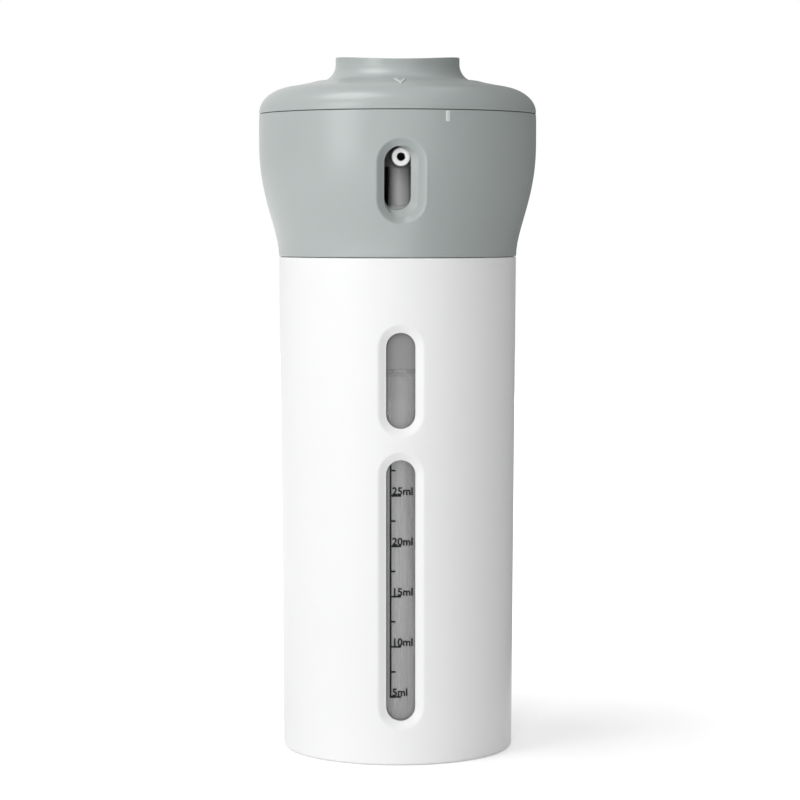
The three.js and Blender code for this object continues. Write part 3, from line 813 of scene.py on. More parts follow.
class WindowedWall:
    """Wall of revolution with windows in its front: an outer and an inner skin and the bevels."""

    PANEL_MARGIN = 5.0
    CLEAR_SHARE = 0.75

    def __init__(self, sketch: MeshSketch, radius_at: Callable[[float], float], wall: float) -> None:
        """Keeps the sketch, the radius of the outer skin by level, and the wall's thickness."""
        self.sketch = sketch
        self.radius_at = radius_at
        self.wall = wall

    def rim(self, opening: Opening, offset: float, depth: float) -> list[Vector]:
        """Points of an opening's oval, grown by an offset and sunk by a depth.

        Args:
            opening: The window.
            offset: How far the oval is grown.
            depth: How far it lies under the outer skin.

        Returns:
            The points of the rim.
        """
        found = []
        for across, level in opening.outline(offset):
            reach = self.radius_at(level) - depth
            found.append(Vector((across, -math.sqrt(reach**2 - across**2), level)))
        return found

    def skin(
        self,
        levels: Sequence[float],
        depth: float,
        rims: Sequence[list[int]],
    ) -> tuple[list[int], list[int]]:
        """Draws one skin of the wall round the rims of its windows.

        Args:
            levels: Heights of its rows, from low to high.
            depth: How far it lies under the outer skin.
            rims: The points, already drawn, that it meets at each window.

        Returns:
            Its lowest and its highest ring.
        """
        sketch = self.sketch
        turn = 2 * math.pi / sketch.sides
        scale = self.radius_at(levels[-1])
        flat: dict[int, Flat] = {}
        for rim in rims:
            for i in rim:
                x, y, z = sketch.points[i]
                flat[i] = (math.atan2(x, -y) * scale, z)
        outlines = [[flat[i] for i in rim] for rim in rims]
        edge = max(abs(p[0]) for outline in outlines for p in outline)
        half = math.ceil((edge + self.PANEL_MARGIN) / (turn * scale))
        clear = self.CLEAR_SHARE * turn * scale
        rows = []
        for level in levels:
            radius = self.radius_at(level) - depth
            ring: list[int | None] = []
            for j in range(sketch.sides):
                column = j if j <= sketch.sides // 2 else j - sketch.sides
                here = (column * turn * scale, level)
                taken = abs(column) < half and any(
                    inside(here, o) or min(math.dist(here, p) for p in o) < clear for o in outlines
                )
                if taken:
                    ring.append(None)
                    continue
                angle = FRONT_ANGLE + turn * j
                (point,) = sketch.add([(radius * math.cos(angle), radius * math.sin(angle), level)])
                ring.append(point)
                flat[point] = here
            rows.append(ring)
        for low, high in zip(rows, rows[1:]):
            for j in range(half, sketch.sides - half):
                after = (j + 1) % sketch.sides
                sketch.faces.append((low[j], low[after], high[after], high[j]))
        self.panel(rows, half, rims, flat)
        return rows[0], rows[-1]

    def panel(
        self,
        rows: Sequence[Sequence[int | None]],
        half: int,
        rims: Sequence[list[int]],
        flat: dict[int, Flat],
    ) -> None:
        """Fills the front of a skin between its grid and the rims of its windows.

        Args:
            rows: The grid, with None where a window leaves no room.
            half: Columns to each side of the middle.
            rims: The points that the skin meets at each window.
            flat: Each point's place on the unrolled skin.
        """
        columns = range(-half, half + 1)
        kept = [row[c] for row in rows for c in columns if row[c] is not None]
        index = [*kept, *(i for rim in rims for i in rim)]
        place = {point: k for k, point in enumerate(index)}
        edges = [(place[a], place[b]) for rim in rims for a, b in zip(rim, [*rim[1:], rim[0]])]
        for column in (-half, half):
            edges += [(place[a[column]], place[b[column]]) for a, b in zip(rows, rows[1:])]
        for row in (rows[0], rows[-1]):
            edges += [(place[row[c]], place[row[c + 1]]) for c in range(-half, half)]
        made = delaunay_2d_cdt([Vector(flat[i]) for i in index], edges, [], 0, PLANE_GAP)
        spots, faces, origins = made[0], made[2], made[3]
        outlines = [[flat[i] for i in rim] for rim in rims]
        for face in faces:
            middle = sum((spots[k] for k in face), Vector((0.0, 0.0))) / len(face)
            if not any(inside(tuple(middle), o) for o in outlines):
                self.sketch.faces.append(tuple(index[origins[k][0]] for k in face))

    def draw(
        self,
        outer: Sequence[float],
        inner: Sequence[float],
        openings: Sequence[Opening],
    ) -> tuple[list[int], list[int], list[int], list[int]]:
        """Draws both skins and the windows through them.

        Args:
            outer: Levels of the outer skin's rows.
            inner: Levels of the inner skin's rows.
            openings: The windows.

        Returns:
            The lowest and highest ring of the outer skin, then of the inner.
        """
        borders, throats = [], []
        for opening in openings:
            rows = [(opening.border, 0.0), *opening.steps(), *opening.throat(self.wall)]
            rings = [self.sketch.add(self.rim(opening, *row)) for row in rows]
            self.sketch.stack(rings)
            borders.append(rings[0])
            throats.append(rings[-1])
        return (*self.skin(outer, 0.0, borders), *self.skin(inner, self.wall, throats))


def spaced(low: float, high: float, pitch: float) -> list[float]:
    """Even levels from low to high, about a pitch apart."""
    count = max(1, round((high - low) / pitch))
    return [low + (high - low) * i / count for i in range(count + 1)]


@dataclass(frozen=True)
class Layout:
    """Levels and radii that more than one sub-assembly meets."""

    sleeve_height: float = 122.1
    sleeve_top: float = 29.35
    collar_base: float = 122.24
    seam: float = 157.1
    cap_base: float = 157.26
    cap_top: float = 171.1
    seam_radius: float = 34.2
    deck_top: float = 153.1
    nozzle_level: float = 146.1
    turntable_bottom: float = 124.3
    turntable_top: float = 126.9
    pump_radius: float = 14.6995
    bottle_radius: float = 26.1
    closure_bottom: float = 95.42
    closure_top: float = 107.3
    closure_ceiling: float = 104.7
    neck_top: float = 103.1
    housing_top: float = 132.8
    stroke: float = 6.0
    gap: float = 0.3


LAYOUT = Layout()


@dataclass
class Sleeve:
    """White outer sleeve: a drafted cup with a foot ring and two bevelled windows."""

    base_radius: float = 28.5
    edge: float = 0.9
    wall: float = 1.8
    floor_top: float = 2.8
    floor_corner: float = 1.2
    foot_recess: float = 0.8
    foot_inner: float = 25.0
    foot_draft: float = 0.4
    foot_ease: float = 0.3
    rim: float = 0.35
    outer_pitch: float = 3.0
    inner_pitch: float = 3.4
    sides: int = 168
    scale_window: Opening = Opening(7.0, 10.7, 63.1, 34)
    level_window: Opening = Opening(7.0, 81.3, 23.0, 10)

    def radius_at(self, level: float) -> float:
        """Outer radius at a level."""
        share = (level - self.edge) / (LAYOUT.sleeve_height - self.edge)
        return self.base_radius + share * (LAYOUT.sleeve_top - self.base_radius)

    def build(self, bench: Bench) -> None:
        """Draws the sleeve and sets it on its body.

        Args:
            bench: Takes the finished piece.
        """
        sketch = MeshSketch(self.sides)
        wall = WindowedWall(sketch, self.radius_at, self.wall)
        top = LAYOUT.sleeve_height
        floor = self.floor_top + self.floor_corner
        low, high, inner_low, inner_high = wall.draw(
            spaced(self.edge, top - self.rim, self.outer_pitch),
            spaced(floor, top - self.rim, self.inner_pitch),
            (self.scale_window, self.level_window),
        )
        sketch.chain(high, self.lip(top), inner_high)
        corner = self.radius_at(floor) - self.wall - self.floor_corner
        bend = circle(corner, floor, self.floor_corner, 0, -math.pi / 2, 5)
        sketch.chain(inner_low, [*bend[1:], (0.0, self.floor_top)])
        sketch.chain(low, self.foot())
        bench.fit(sketch.mesh("sleeve_shell"), Finishes.SHELL, "sleeve", Slot.SHELL, ["outer_sleeve"])

    def lip(self, top: float) -> list[Flat]:
        """Rounded top edge, from the outer skin to the inner."""
        outer, inner = self.radius_at(top), self.radius_at(top) - self.wall
        out = circle(outer - self.rim, top - self.rim, self.rim, 0, math.pi / 2, 4)
        back = circle(inner + self.rim, top - self.rim, self.rim, math.pi / 2, math.pi, 4)
        return [*out[1:], *back[:-1]]

    def foot(self) -> list[Flat]:
        """Base edge, foot ring and recessed underside, from the outer skin to the axis."""
        edge = circle(self.base_radius - self.edge, self.edge, self.edge, 0, -math.pi / 2, 6)
        ring = [(self.foot_inner, 0.0), (self.foot_inner - self.foot_draft, self.foot_recess)]
        under = eased([edge[-1], *ring, (0.0, self.foot_recess)], self.foot_ease)
        return [*edge[1:], *under[1:]]


@dataclass
class HeadCollar:
    """Grey bowl of the head: nozzle window, spigot, deck ledge, snap lip, and its index mark."""

    base_radius: float = 29.4
    bulge_radius: float = 34.25
    bulge_level: float = 149.6
    bowl_pulls: Flat = (0.25, 0.515)
    brow_share: float = 0.5
    brow_pull: Flat = (0.12, 1.6)
    wall: float = 2.0
    edge: float = 0.4
    ease: float = 0.35
    base_draft: float = 0.05
    seam_draft: float = 0.03
    skin_foot: float = 4.0
    skin_bend: Flat = (0.6, 0.8)
    spigot_bottom: float = 115.4
    spigot_bore: float = 25.65
    spigot_radius: float = 27.25
    turntable_gap: float = 0.4
    bore: float = 32.6
    lip_bore: float = 31.95
    lip_bottom: float = 155.6
    ledge: float = 30.6
    ledge_top: float = 151.2
    ledge_bottom: float = 150.0
    outer_pitch: float = 1.5
    inner_pitch: float = 1.8
    sides: int = 168
    window: Opening = Opening(8.1, 131.9, 16.8, 10, bevel=1.75, depth=1.8, taper=0.9, boss=1.1, lean=1.0)
    mark_angle: float = 18.7
    mark_width: float = 1.0
    mark_length: float = 2.5
    mark_relief: float = 0.16
    mark_drop: float = 0.6
    mark_pitch: float = 0.3

    def __post_init__(self) -> None:
        """Samples the outer profile once."""
        base = LAYOUT.collar_base
        rise = self.bulge_level - base
        low_pull, high_pull = self.bowl_pulls
        bowl = bezier(
            [
                (self.base_radius, base),
                (self.base_radius, base + low_pull * rise),
                (self.bulge_radius, base + high_pull * rise),
                (self.bulge_radius, self.bulge_level),
            ],
            60,
        )
        crown = self.bulge_level + self.brow_share * (LAYOUT.seam - self.bulge_level)
        out, up = self.brow_pull
        brow = bezier(
            [
                (self.bulge_radius, self.bulge_level),
                (self.bulge_radius, crown),
                (LAYOUT.seam_radius + out, crown + up),
                (LAYOUT.seam_radius, LAYOUT.seam),
            ],
            24,
        )
        self.profile = [*bowl, *brow[1:]]

    def radius_at(self, level: float) -> float:
        """Outer radius at a level."""
        for (r0, z0), (r1, z1) in zip(self.profile, self.profile[1:]):
            if level <= z1:
                return r0 + (r1 - r0) * (level - z0) / (z1 - z0)
        return self.profile[-1][0]

    def build(self, bench: Bench) -> None:
        """Draws the collar and its index mark and sets them on the head.

        Args:
            bench: Takes the finished pieces.
        """
        sketch = MeshSketch(self.sides)
        wall = WindowedWall(sketch, self.radius_at, self.wall)
        foot = LAYOUT.collar_base + self.skin_foot
        low, high, inner_low, inner_high = wall.draw(
            spaced(LAYOUT.collar_base + self.edge, LAYOUT.seam - self.edge, self.outer_pitch),
            spaced(foot, self.ledge_bottom, self.inner_pitch),
            (self.window,),
        )
        sketch.chain(low, self.spigot(foot), inner_low)
        sketch.chain(inner_high, self.mouth(), high)
        bench.fit(sketch.mesh("collar_bowl"), Finishes.HEAD, "head", Slot.HEAD, ["head_collar"])
        self.mark(bench)

    def spigot(self, foot: float) -> list[Flat]:
        """Base edge and spigot, from the outer skin in and up to the inner skin."""
        base = LAYOUT.collar_base
        start = self.radius_at(base + self.edge)
        floor = LAYOUT.turntable_bottom - self.turntable_gap
        inner = self.radius_at(foot) - self.wall
        bend_in, bend_down = self.skin_bend
        corners = [
            (start, base + self.edge),
            (start - self.base_draft, base),
            (self.spigot_radius, base),
            (self.spigot_radius, self.spigot_bottom),
            (self.spigot_bore, self.spigot_bottom),
            (self.spigot_bore, floor),
            (inner - bend_in, foot - bend_down),
            (inner, foot),
        ]
        return eased(corners, self.ease)[1:-1]

    def mouth(self) -> list[Flat]:
        """Deck ledge, bore and snap lip, from the inner skin up to the outer skin at the seam."""
        top = LAYOUT.seam
        end = self.radius_at(top - self.edge)
        corners = [
            (self.radius_at(self.ledge_bottom) - self.wall, self.ledge_bottom),
            (self.ledge, self.ledge_bottom),
            (self.ledge, self.ledge_top),
            (self.bore, self.ledge_top),
            (self.bore, self.lip_bottom),
            (self.lip_bore, self.lip_bottom),
            (self.lip_bore, top),
            (end - self.seam_draft, top),
            (end, top - self.edge),
        ]
        return eased(corners, self.ease)[1:-1]

    def mark(self, bench: Bench) -> None:
        """Draws the short index mark under the seam."""
        middle = math.radians(self.mark_angle)
        top = LAYOUT.seam - self.mark_drop * self.edge
        rows = []
        for level in spaced(top - self.mark_length, top, self.mark_pitch):
            radius = self.radius_at(level)
            spread = self.mark_width / 2 / radius
            rows.append([self.spot(middle + side * spread, level) for side in (-1, 1)])
        mesh = ribbon(rows, self.mark_relief).mesh("index_mark")
        bench.fit(mesh, Finishes.MARK, "head", Slot.HEAD)

    def spot(self, angle: float, level: float) -> tuple[Vector, Vector]:
        """A point of the outer skin and the way it faces, at an angle right of the front."""
        step = 0.05
        slope = (self.radius_at(level + step) - self.radius_at(level - step)) / (2 * step)
        out = Vector((math.sin(angle), -math.cos(angle), 0.0))
        point = out * self.radius_at(level) + Vector((0.0, 0.0, level))
        return point, (out - Vector((0.0, 0.0, slope))).normalized()


def ribbon(rows: Sequence[Sequence[tuple[Vector, Vector]]], relief: float, root: float = 0.1) -> MeshSketch:
    """Raised bar that follows a surface between two edges.

    Args:
        rows: Along the bar, the point and normal of the surface at each of its two edges.
        relief: How far it stands proud.
        root: How far it reaches under the surface.

    Returns:
        The closed bar.
    """
    inset, flank = 0.18, 0.6
    sketch = MeshSketch()
    rings = []
    for (a, a_out), (b, b_out) in rows:
        section = [
            a - a_out * root,
            a + a_out * relief * flank,
            a.lerp(b, inset) + a_out * relief,
            b.lerp(a, inset) + b_out * relief,
            b + b_out * relief * flank,
            b - b_out * root,
        ]
        rings.append(sketch.add(section))
    sketch.stack(rings)
    sketch.fill(rings[0])
    sketch.fill(rings[-1])
    return sketch


@dataclass
class SelectorCap:
    """Grey domed cap with its scooped neck, and the pointer moulded on it."""

    skirt_bottom: float = 153.5
    skirt_bore: float = 30.15
    skirt_radius: float = 31.55
    bead_radius: float = 32.2
    bead_height: float = 1.5
    ceiling: float = 162.7
    roof_inset: float = 2.0
    roof_fall: float = 3.0
    shoulder_radius: float = 26.5
    seam_pull: float = 0.47
    seam_draft: float = 0.02
    shoulder_pull: float = 0.64
    shoulder_dip: float = 0.72
    dome_top: float = 165.1
    dome_edge: float = 163.9
    dome_pulls: tuple[Flat, Flat] = ((2.3, 0.33), (4.3, 0.63))
    neck_radius: float = 15.3
    neck_bore: float = 13.7
    neck_edge: float = 0.5
    fillet: float = 4.4
    scoop: float = 1.0
    scoop_foot: float = 167.6
    edge: float = 0.4
    sides: int = 168
    pointer_width: float = 2.9
    pointer_start: float = 21.6
    pointer_end: float = 29.4
    pointer_stroke: float = 0.62
    pointer_relief: float = 0.2
    key_reach: float = 14.4
    key_width: float = 2.2
    key_height: float = 5.3
    notch_radius: float = 1.0
    notch_depth: float = 0.6
    notch_height: float = 3.0
    notch_angles: tuple[float, ...] = (0.0, 20.0, 90.0, 180.0, 270.0)

    def outside(self) -> list[Flat]:
        """Outer profile from the seam to the top of the neck."""
        seam, base = LAYOUT.seam_radius, LAYOUT.cap_base
        shoulder = bezier(
            [
                (seam, base + self.edge),
                (seam, base + self.seam_pull * (self.dome_edge - base)),
                (
                    self.shoulder_radius + self.shoulder_pull * (seam - self.shoulder_radius),
                    self.dome_edge - self.shoulder_dip,
                ),
                (self.shoulder_radius, self.dome_edge),
            ],
            30,
        )
        foot = self.neck_radius + self.fillet
        fall = self.dome_top - self.dome_edge
        lean = math.atan2(fall, self.shoulder_radius - foot)
        sweep = circle(foot, self.dome_top + self.fillet, self.fillet, -math.pi / 2 + lean, -math.pi, 18)
        pulls = [(self.shoulder_radius - x, self.dome_edge + share * fall) for x, share in self.dome_pulls]
        dome = bezier([shoulder[-1], *pulls, sweep[0]], 10)
        return [*shoulder, *dome[1:-1], *sweep, (self.neck_radius, LAYOUT.cap_top - self.neck_edge)]

    def scooped(self, point: Vector) -> Vector:
        """Lowers the top of the neck into the thumb scoop."""
        if point.z <= self.scoop_foot:
            return point
        radius = (self.neck_radius**2 + self.scoop**2) / (2 * self.scoop)
        drop = self.scoop - radius + math.sqrt(radius**2 - point.x**2)
        share = (point.z - self.scoop_foot) / (LAYOUT.cap_top - self.scoop_foot)
        return Vector((point.x, point.y, point.z - share * drop))

    def build(self, bench: Bench) -> None:
        """Draws the cap and its pointer and sets them on their body.

        Args:
            bench: Takes the finished pieces.
        """
        outside = self.outside()
        base, top = LAYOUT.cap_base, LAYOUT.cap_top
        inside_corners = [
            outside[-1],
            (self.neck_radius, top),
            (self.neck_bore, top),
            (self.neck_bore, self.ceiling),
            (self.shoulder_radius - self.roof_inset, self.ceiling),
            (self.skirt_bore, self.ceiling - self.roof_fall),
            (self.skirt_bore, self.skirt_bottom),
            (self.bead_radius, self.skirt_bottom),
            (self.bead_radius, self.skirt_bottom + self.bead_height),
            (self.skirt_radius, self.skirt_bottom + self.bead_height),
            (self.skirt_radius, base),
            (LAYOUT.seam_radius - self.seam_draft, base),
            outside[0],
        ]
        sketch = MeshSketch(self.sides)
        sketch.lathe([*outside, *eased(inside_corners, self.edge)[1:-1]])
        sketch.points = [self.scooped(p) for p in sketch.points]
        mesh = worked("cap_dome", sketch, [(Cut.TAKE, self.recesses())])
        bench.fit(mesh, Finishes.HEAD, "cap", Slot.HEAD, ["selector_cap"])
        self.pointer(bench, outside)

    def recesses(self) -> MeshSketch:
        """Keyways of the button in the neck and the click spring's notches in the skirt."""
        over = 1.0
        sketch = MeshSketch()
        keyway = rectangle(-self.key_reach, self.key_reach, self.key_width)
        sketch.prism(keyway, self.ceiling - over, self.ceiling + self.key_height)
        middle = self.skirt_bore + self.notch_depth - self.notch_radius
        for degrees in self.notch_angles:
            angle = math.radians(degrees) - FRONT_ANGLE
            x, y = middle * math.cos(angle), middle * math.sin(angle)
            notch = polygon(x, y, self.notch_radius, 24)
            sketch.prism(notch, self.skirt_bottom - over, self.skirt_bottom + self.notch_height)
        return sketch

    def pointer(self, bench: Bench, outside: Sequence[Flat]) -> None:
        """Draws the pointer down the front of the dome.

        Args:
            bench: Takes the finished piece.
            outside: The cap's outer profile.
        """
        length = self.pointer_end - self.pointer_start
        half, stroke = self.pointer_width / 2, self.pointer_stroke

        def spot(across: float, down: float) -> tuple[Vector, Vector]:
            """The surface, and the way it faces, at a place on the pointer."""
            radius = self.pointer_start + down
            level, slope = self.surface(outside, radius)
            angle = FRONT_ANGLE + across / radius
            out = Vector((math.cos(angle), math.sin(angle), 0.0))
            point = out * radius + Vector((0.0, 0.0, level))
            return point, (Vector((0.0, 0.0, 1.0)) - out * slope).normalized()

        rows = []
        steps = 14
        notch = length * (1 - stroke / half)
        for i in range(2 * steps + 1):
            share = 1 - abs(i - steps) / steps
            side = -1 if i <= steps else 1
            outer = spot(side * half * (1 - share), share * length)
            inner = spot(side * (half - stroke) * (1 - share), share * notch)
            rows.append((outer, inner))
        mesh = ribbon(rows, self.pointer_relief).mesh("pointer")
        bench.fit(mesh, Finishes.MARK, "cap", Slot.HEAD)

    @staticmethod
    def surface(outside: Sequence[Flat], radius: float) -> Flat:
        """Level and slope of the cap's outer profile at a radius."""
        for (r0, z0), (r1, z1) in zip(outside, outside[1:]):
            if r1 <= radius <= r0 and r0 - r1 > MERGE_GAP:
                slope = (z1 - z0) / (r1 - r0)
                return z0 + slope * (radius - r0), slope
        return outside[-1][1], 0.0


@cache
def coil_tree() -> bpy.types.GeometryNodeTree:
    """Geometry Nodes tree of a coil spring whose end turns lie flat.

    Returns:
        The tree, built once.
    """
    tree = bpy.data.node_groups.new("coil_spring", "GeometryNodeTree")
    wires = Wiring(tree)
    wires.ports(
        [
            ("Geometry", "NodeSocketGeometry", None),
            ("Radius", "NodeSocketFloat", 0.003),
            ("Wire", "NodeSocketFloat", 0.0007),
            ("Turns", "NodeSocketFloat", 4.0),
            ("Flat Share", "NodeSocketFloat", 0.15),
            ("Low", "NodeSocketFloat", 0.0),
            ("High", "NodeSocketFloat", 0.01),
            ("Points", "NodeSocketInt", 160),
            ("Material", "NodeSocketMaterial", None),
        ],
        [("Geometry", "NodeSocketGeometry")],
    )
    source = wires.add("NodeGroupInput").outputs
    line = wires.add("GeometryNodeCurvePrimitiveLine").outputs["Curve"]
    fine = wires.add("GeometryNodeResampleCurve", {"Curve": line, "Count": source["Points"]})
    share = wires.add("GeometryNodeSplineParameter").outputs["Factor"]
    turns = wires.math("MULTIPLY", share, source["Turns"])
    angle = wires.math("MULTIPLY", turns, 2 * math.pi)
    half = wires.math("MULTIPLY", source["Wire"], 0.5)
    climb = {
        "Value": share,
        "From Min": source["Flat Share"],
        "From Max": wires.math("SUBTRACT", 1.0, source["Flat Share"]),
        "To Min": wires.math("ADD", source["Low"], half),
        "To Max": wires.math("SUBTRACT", source["High"], half),
    }
    spot = wires.vector(
        wires.math("MULTIPLY", wires.math("COSINE", angle), source["Radius"]),
        wires.math("MULTIPLY", wires.math("SINE", angle), source["Radius"]),
        wires.add("ShaderNodeMapRange", climb, clamp=True).outputs["Result"],
    )
    path = wires.add("GeometryNodeSetPosition", {"Geometry": fine.outputs["Curve"], "Position": spot})
    section = wires.add("GeometryNodeCurvePrimitiveCircle", {"Resolution": 12, "Radius": half})
    drawn = {
        "Curve": path.outputs["Geometry"],
        "Profile Curve": section.outputs["Curve"],
        "Fill Caps": True,
    }
    close_tree(wires, source["Material"], wires.add("GeometryNodeCurveToMesh", drawn).outputs["Mesh"])
    return tree


def close_tree(wires: Wiring, material: bpy.types.NodeSocket, geometry: bpy.types.NodeSocket) -> None:
    """Ends a geometry tree: instances made real, material set, result put out.

    Args:
        wires: The tree.
        material: The input that holds its material.
        geometry: What it has made.
    """
    real = wires.add("GeometryNodeRealizeInstances", {"Geometry": geometry}).outputs["Geometry"]
    paint = wires.add("GeometryNodeSetMaterial", {"Geometry": real, "Material": material})
    wires.add("NodeGroupOutput", {"Geometry": paint.outputs["Geometry"]})


@cache
def ticks_tree() -> bpy.types.GeometryNodeTree:
    """Geometry Nodes tree of a flat graduation: a scale line with long and short ticks by turns.

    Returns:
        The tree, built once. X runs along the ticks, Y out of the surface and Z up the scale.
    """
    tree = bpy.data.node_groups.new("graduation_ticks", "GeometryNodeTree")
    wires = Wiring(tree)
    wires.ports(
        [
            ("Geometry", "NodeSocketGeometry", None),
            ("Count", "NodeSocketInt", 10),
            ("Pitch", "NodeSocketFloat", 0.006),
            ("Long Tick", "NodeSocketFloat", 0.0025),
            ("Short Tick", "NodeSocketFloat", 0.001),
            ("Stroke", "NodeSocketFloat", 0.0004),
            ("Relief", "NodeSocketFloat", 0.0001),
            ("Height", "NodeSocketFloat", 0.06),
            ("Material", "NodeSocketMaterial", None),
        ],
        [("Geometry", "NodeSocketGeometry")],
    )
    source = wires.add("NodeGroupInput").outputs
    step = wires.vector(z=source["Pitch"])
    line = wires.add("GeometryNodeMeshLine", {"Count": source["Count"], "Offset": step})
    odd = wires.math("MODULO", wires.add("GeometryNodeInputIndex").outputs["Index"], 2.0)
    drop = wires.math("SUBTRACT", source["Short Tick"], source["Long Tick"])
    length = wires.math("MULTIPLY_ADD", odd, drop, source["Long Tick"])
    aside = wires.vector(x=wires.math("MULTIPLY", length, 0.5))
    spots = wires.add("GeometryNodeSetPosition", {"Geometry": line.outputs["Mesh"], "Offset": aside})
    repeat = {
        "Points": spots.outputs["Geometry"],
        "Instance": wires.add("GeometryNodeMeshCube", {"Vertices X": 7}).outputs["Mesh"],
        "Scale": wires.vector(length, source["Relief"], source["Stroke"]),
    }
    ticks = wires.add("GeometryNodeInstanceOnPoints", repeat)
    tall = wires.vector(source["Stroke"], source["Relief"], source["Height"])
    spine = wires.add("GeometryNodeMeshCube", {"Vertices X": 3, "Size": tall})
    half_stroke = wires.math("MULTIPLY", source["Stroke"], 0.5)
    middle = wires.math("SUBTRACT", wires.math("MULTIPLY", source["Height"], 0.5), half_stroke)
    raised = {"Geometry": spine.outputs["Mesh"], "Translation": wires.vector(z=middle)}
    upright = wires.add("GeometryNodeTransform", raised)
    both = wires.add("GeometryNodeJoinGeometry", {"Geometry": ticks.outputs["Instances"]})
    wires.feed(both, {"Geometry": upright.outputs["Geometry"]})
    close_tree(wires, source["Material"], both.outputs["Geometry"])
    return tree


def grown(name: str, tree: bpy.types.GeometryNodeTree, values: dict[str, Any]) -> bpy.types.Mesh:
    """Runs a geometry tree and keeps its result as a plain mesh.

    Args:
        name: The mesh's name.
        tree: The tree to run.
        values: A value for each of its named inputs.

    Returns:
        The mesh.
    """
    holder = placed(f"{name}_holder", bpy.data.meshes.new(f"{name}_holder"))
    modifier = holder.modifiers.new("grow", "NODES")
    modifier.node_group = tree
    for item in tree.interface.items_tree:
        if item.item_type == "SOCKET" and item.in_out == "INPUT" and item.name in values:
            modifier[item.identifier] = values[item.name]
    return evaluated(name, holder)


@dataclass(frozen=True)
class Coil:
    """Coil spring between two levels on an upright axis."""

    radius: float
    wire: float
    turns: float
    low: float
    high: float
    flat_turns: float = 0.7
    turn_points: int = 44

    def mesh(self, name: str, place: Matrix) -> bpy.types.Mesh:
        """Makes the spring's mesh, with its axis at a place."""
        values = {
            "Radius": self.radius * MM,
            "Wire": self.wire * MM,
            "Turns": self.turns,
            "Flat Share": self.flat_turns / self.turns,
            "Low": self.low * MM,
            "High": self.high * MM,
            "Points": int(self.turn_points * self.turns),
            "Material": Finishes.STEEL.material(),
        }
        mesh = grown(name, coil_tree(), values)
        mesh.transform(in_metres(place))
        settle(mesh)
        return mesh

    def fit(self, bench: Bench, name: str, body: str, node: str, joint: str, place: Matrix) -> None:
        """Sets the spring on a body, with a mesh of its own.

        Args:
            bench: Takes the finished piece.
            name: The piece's name.
            body: The body that it stands on.
            node: The node that it replaces.
            joint: The joint whose stroke shortens it; not used.
            place: Where its axis goes.
        """
        piece = bench.fit(self.mesh(name, place), Finishes.STEEL, body, Slot.STEEL, [node])
        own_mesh(piece)


@dataclass
class Press:
    """Button in the neck, its spring, and the plunger that passes its stroke on."""

    top: float = 169.6
    dish: float = 1.4
    dish_pulls: Flat = (0.4, 0.7)
    dish_rise: float = 0.35
    edge: float = 0.6
    radius: float = 13.4
    wall: float = 1.4
    ceiling: float = 166.4
    flange_radius: float = 18.6995
    flange_bottom: float = 160.8
    flange_top: float = 162.4
    stem_corner: float = 3.5
    stem_margin: float = 1.0
    stem_bottom: float = 141.7
    sides: int = 120
    spring: Coil = Coil(8.8, 0.8, 5.0, 153.4, 166.1)
    plunger_radius: float = 2.6
    plunger_head: float = 4.0
    plunger_cap: float = 1.0
    plunger_ease: float = 0.35
    plunger_low: float = 151.1
    plunger_high: float = 160.5
    plunger_sides: int = 40
    rib_depth: float = 0.7
    rib_width: float = 1.6
    rib_height: float = 5.0

    def build(self, bench: Bench) -> None:
        """Draws the button, spring and plunger and sets them on their bodies.

        Args:
            bench: Takes the finished pieces.
        """
        bench.fit(self.button(), Finishes.BUTTON, "button", Slot.HEAD, ["press_button"])
        axis = Matrix.Identity(4)
        self.spring.fit(bench, "return_spring", "head", "button_spring", "button_press", axis)
        head = self.plunger_high - self.plunger_cap
        pin = [
            (0.0, self.plunger_low),
            (self.plunger_radius, self.plunger_low),
            (self.plunger_radius, head),
            (self.plunger_head, head),
            (self.plunger_head, self.plunger_high),
            (0.0, self.plunger_high),
        ]
        sketch = MeshSketch(self.plunger_sides)
        sketch.lathe(eased(pin, self.plunger_ease))
        place = Station.FRONT.place(LAYOUT.pump_radius)
        bench.fit(sketch.mesh("plunger_pin", place), Finishes.PUMP, "plunger", Slot.PUMP, ["press_plunger"])

    def button(self) -> bpy.types.Mesh:
        """The dished button with its flange and its hexagonal stem in one closed shell."""
        floor = self.top - self.dish
        lip = self.radius - self.edge
        flat, slope = self.dish_pulls
        pulls = [(flat * self.radius, floor), (slope * lip, floor + self.dish_rise)]
        dish = bezier([(0.0, floor), *pulls, (lip, self.top)], 16)
        inner = self.radius - self.wall
        corners = [
            dish[-2],
            dish[-1],
            (self.radius, self.top - self.edge),
            (self.radius, self.flange_top),
            (self.flange_radius, self.flange_top),
            (self.flange_radius, self.flange_bottom),
            (inner, self.flange_bottom),
            (inner, self.ceiling),
            (self.stem_corner + self.stem_margin, self.ceiling),
        ]
        sketch = MeshSketch(self.sides)
        crown = sketch.ring(*dish[1])
        sketch.tip(crown, floor)
        last = sketch.chain(crown, [*dish[2:-1], *eased(corners, self.edge)[1:]])
        hexagon = polygon(0, 0, self.stem_corner, 6, FRONT_ANGLE)
        root = sketch.add((x, y, self.ceiling) for x, y in hexagon)
        end = sketch.add((x, y, self.stem_bottom) for x, y in hexagon)
        sketch.fill(last, root)
        sketch.strip(root, end)
        sketch.fill(end)
        ribs = MeshSketch()
        root_radius = self.radius - self.wall / 2
        for side in (-1, 1):
            rib = rectangle(side * root_radius, side * (self.radius + self.rib_depth), self.rib_width)
            ribs.prism(rib, self.flange_top - self.edge, self.flange_top + self.rib_height)
        return worked("button_dish", sketch, [(Cut.JOIN, ribs)])


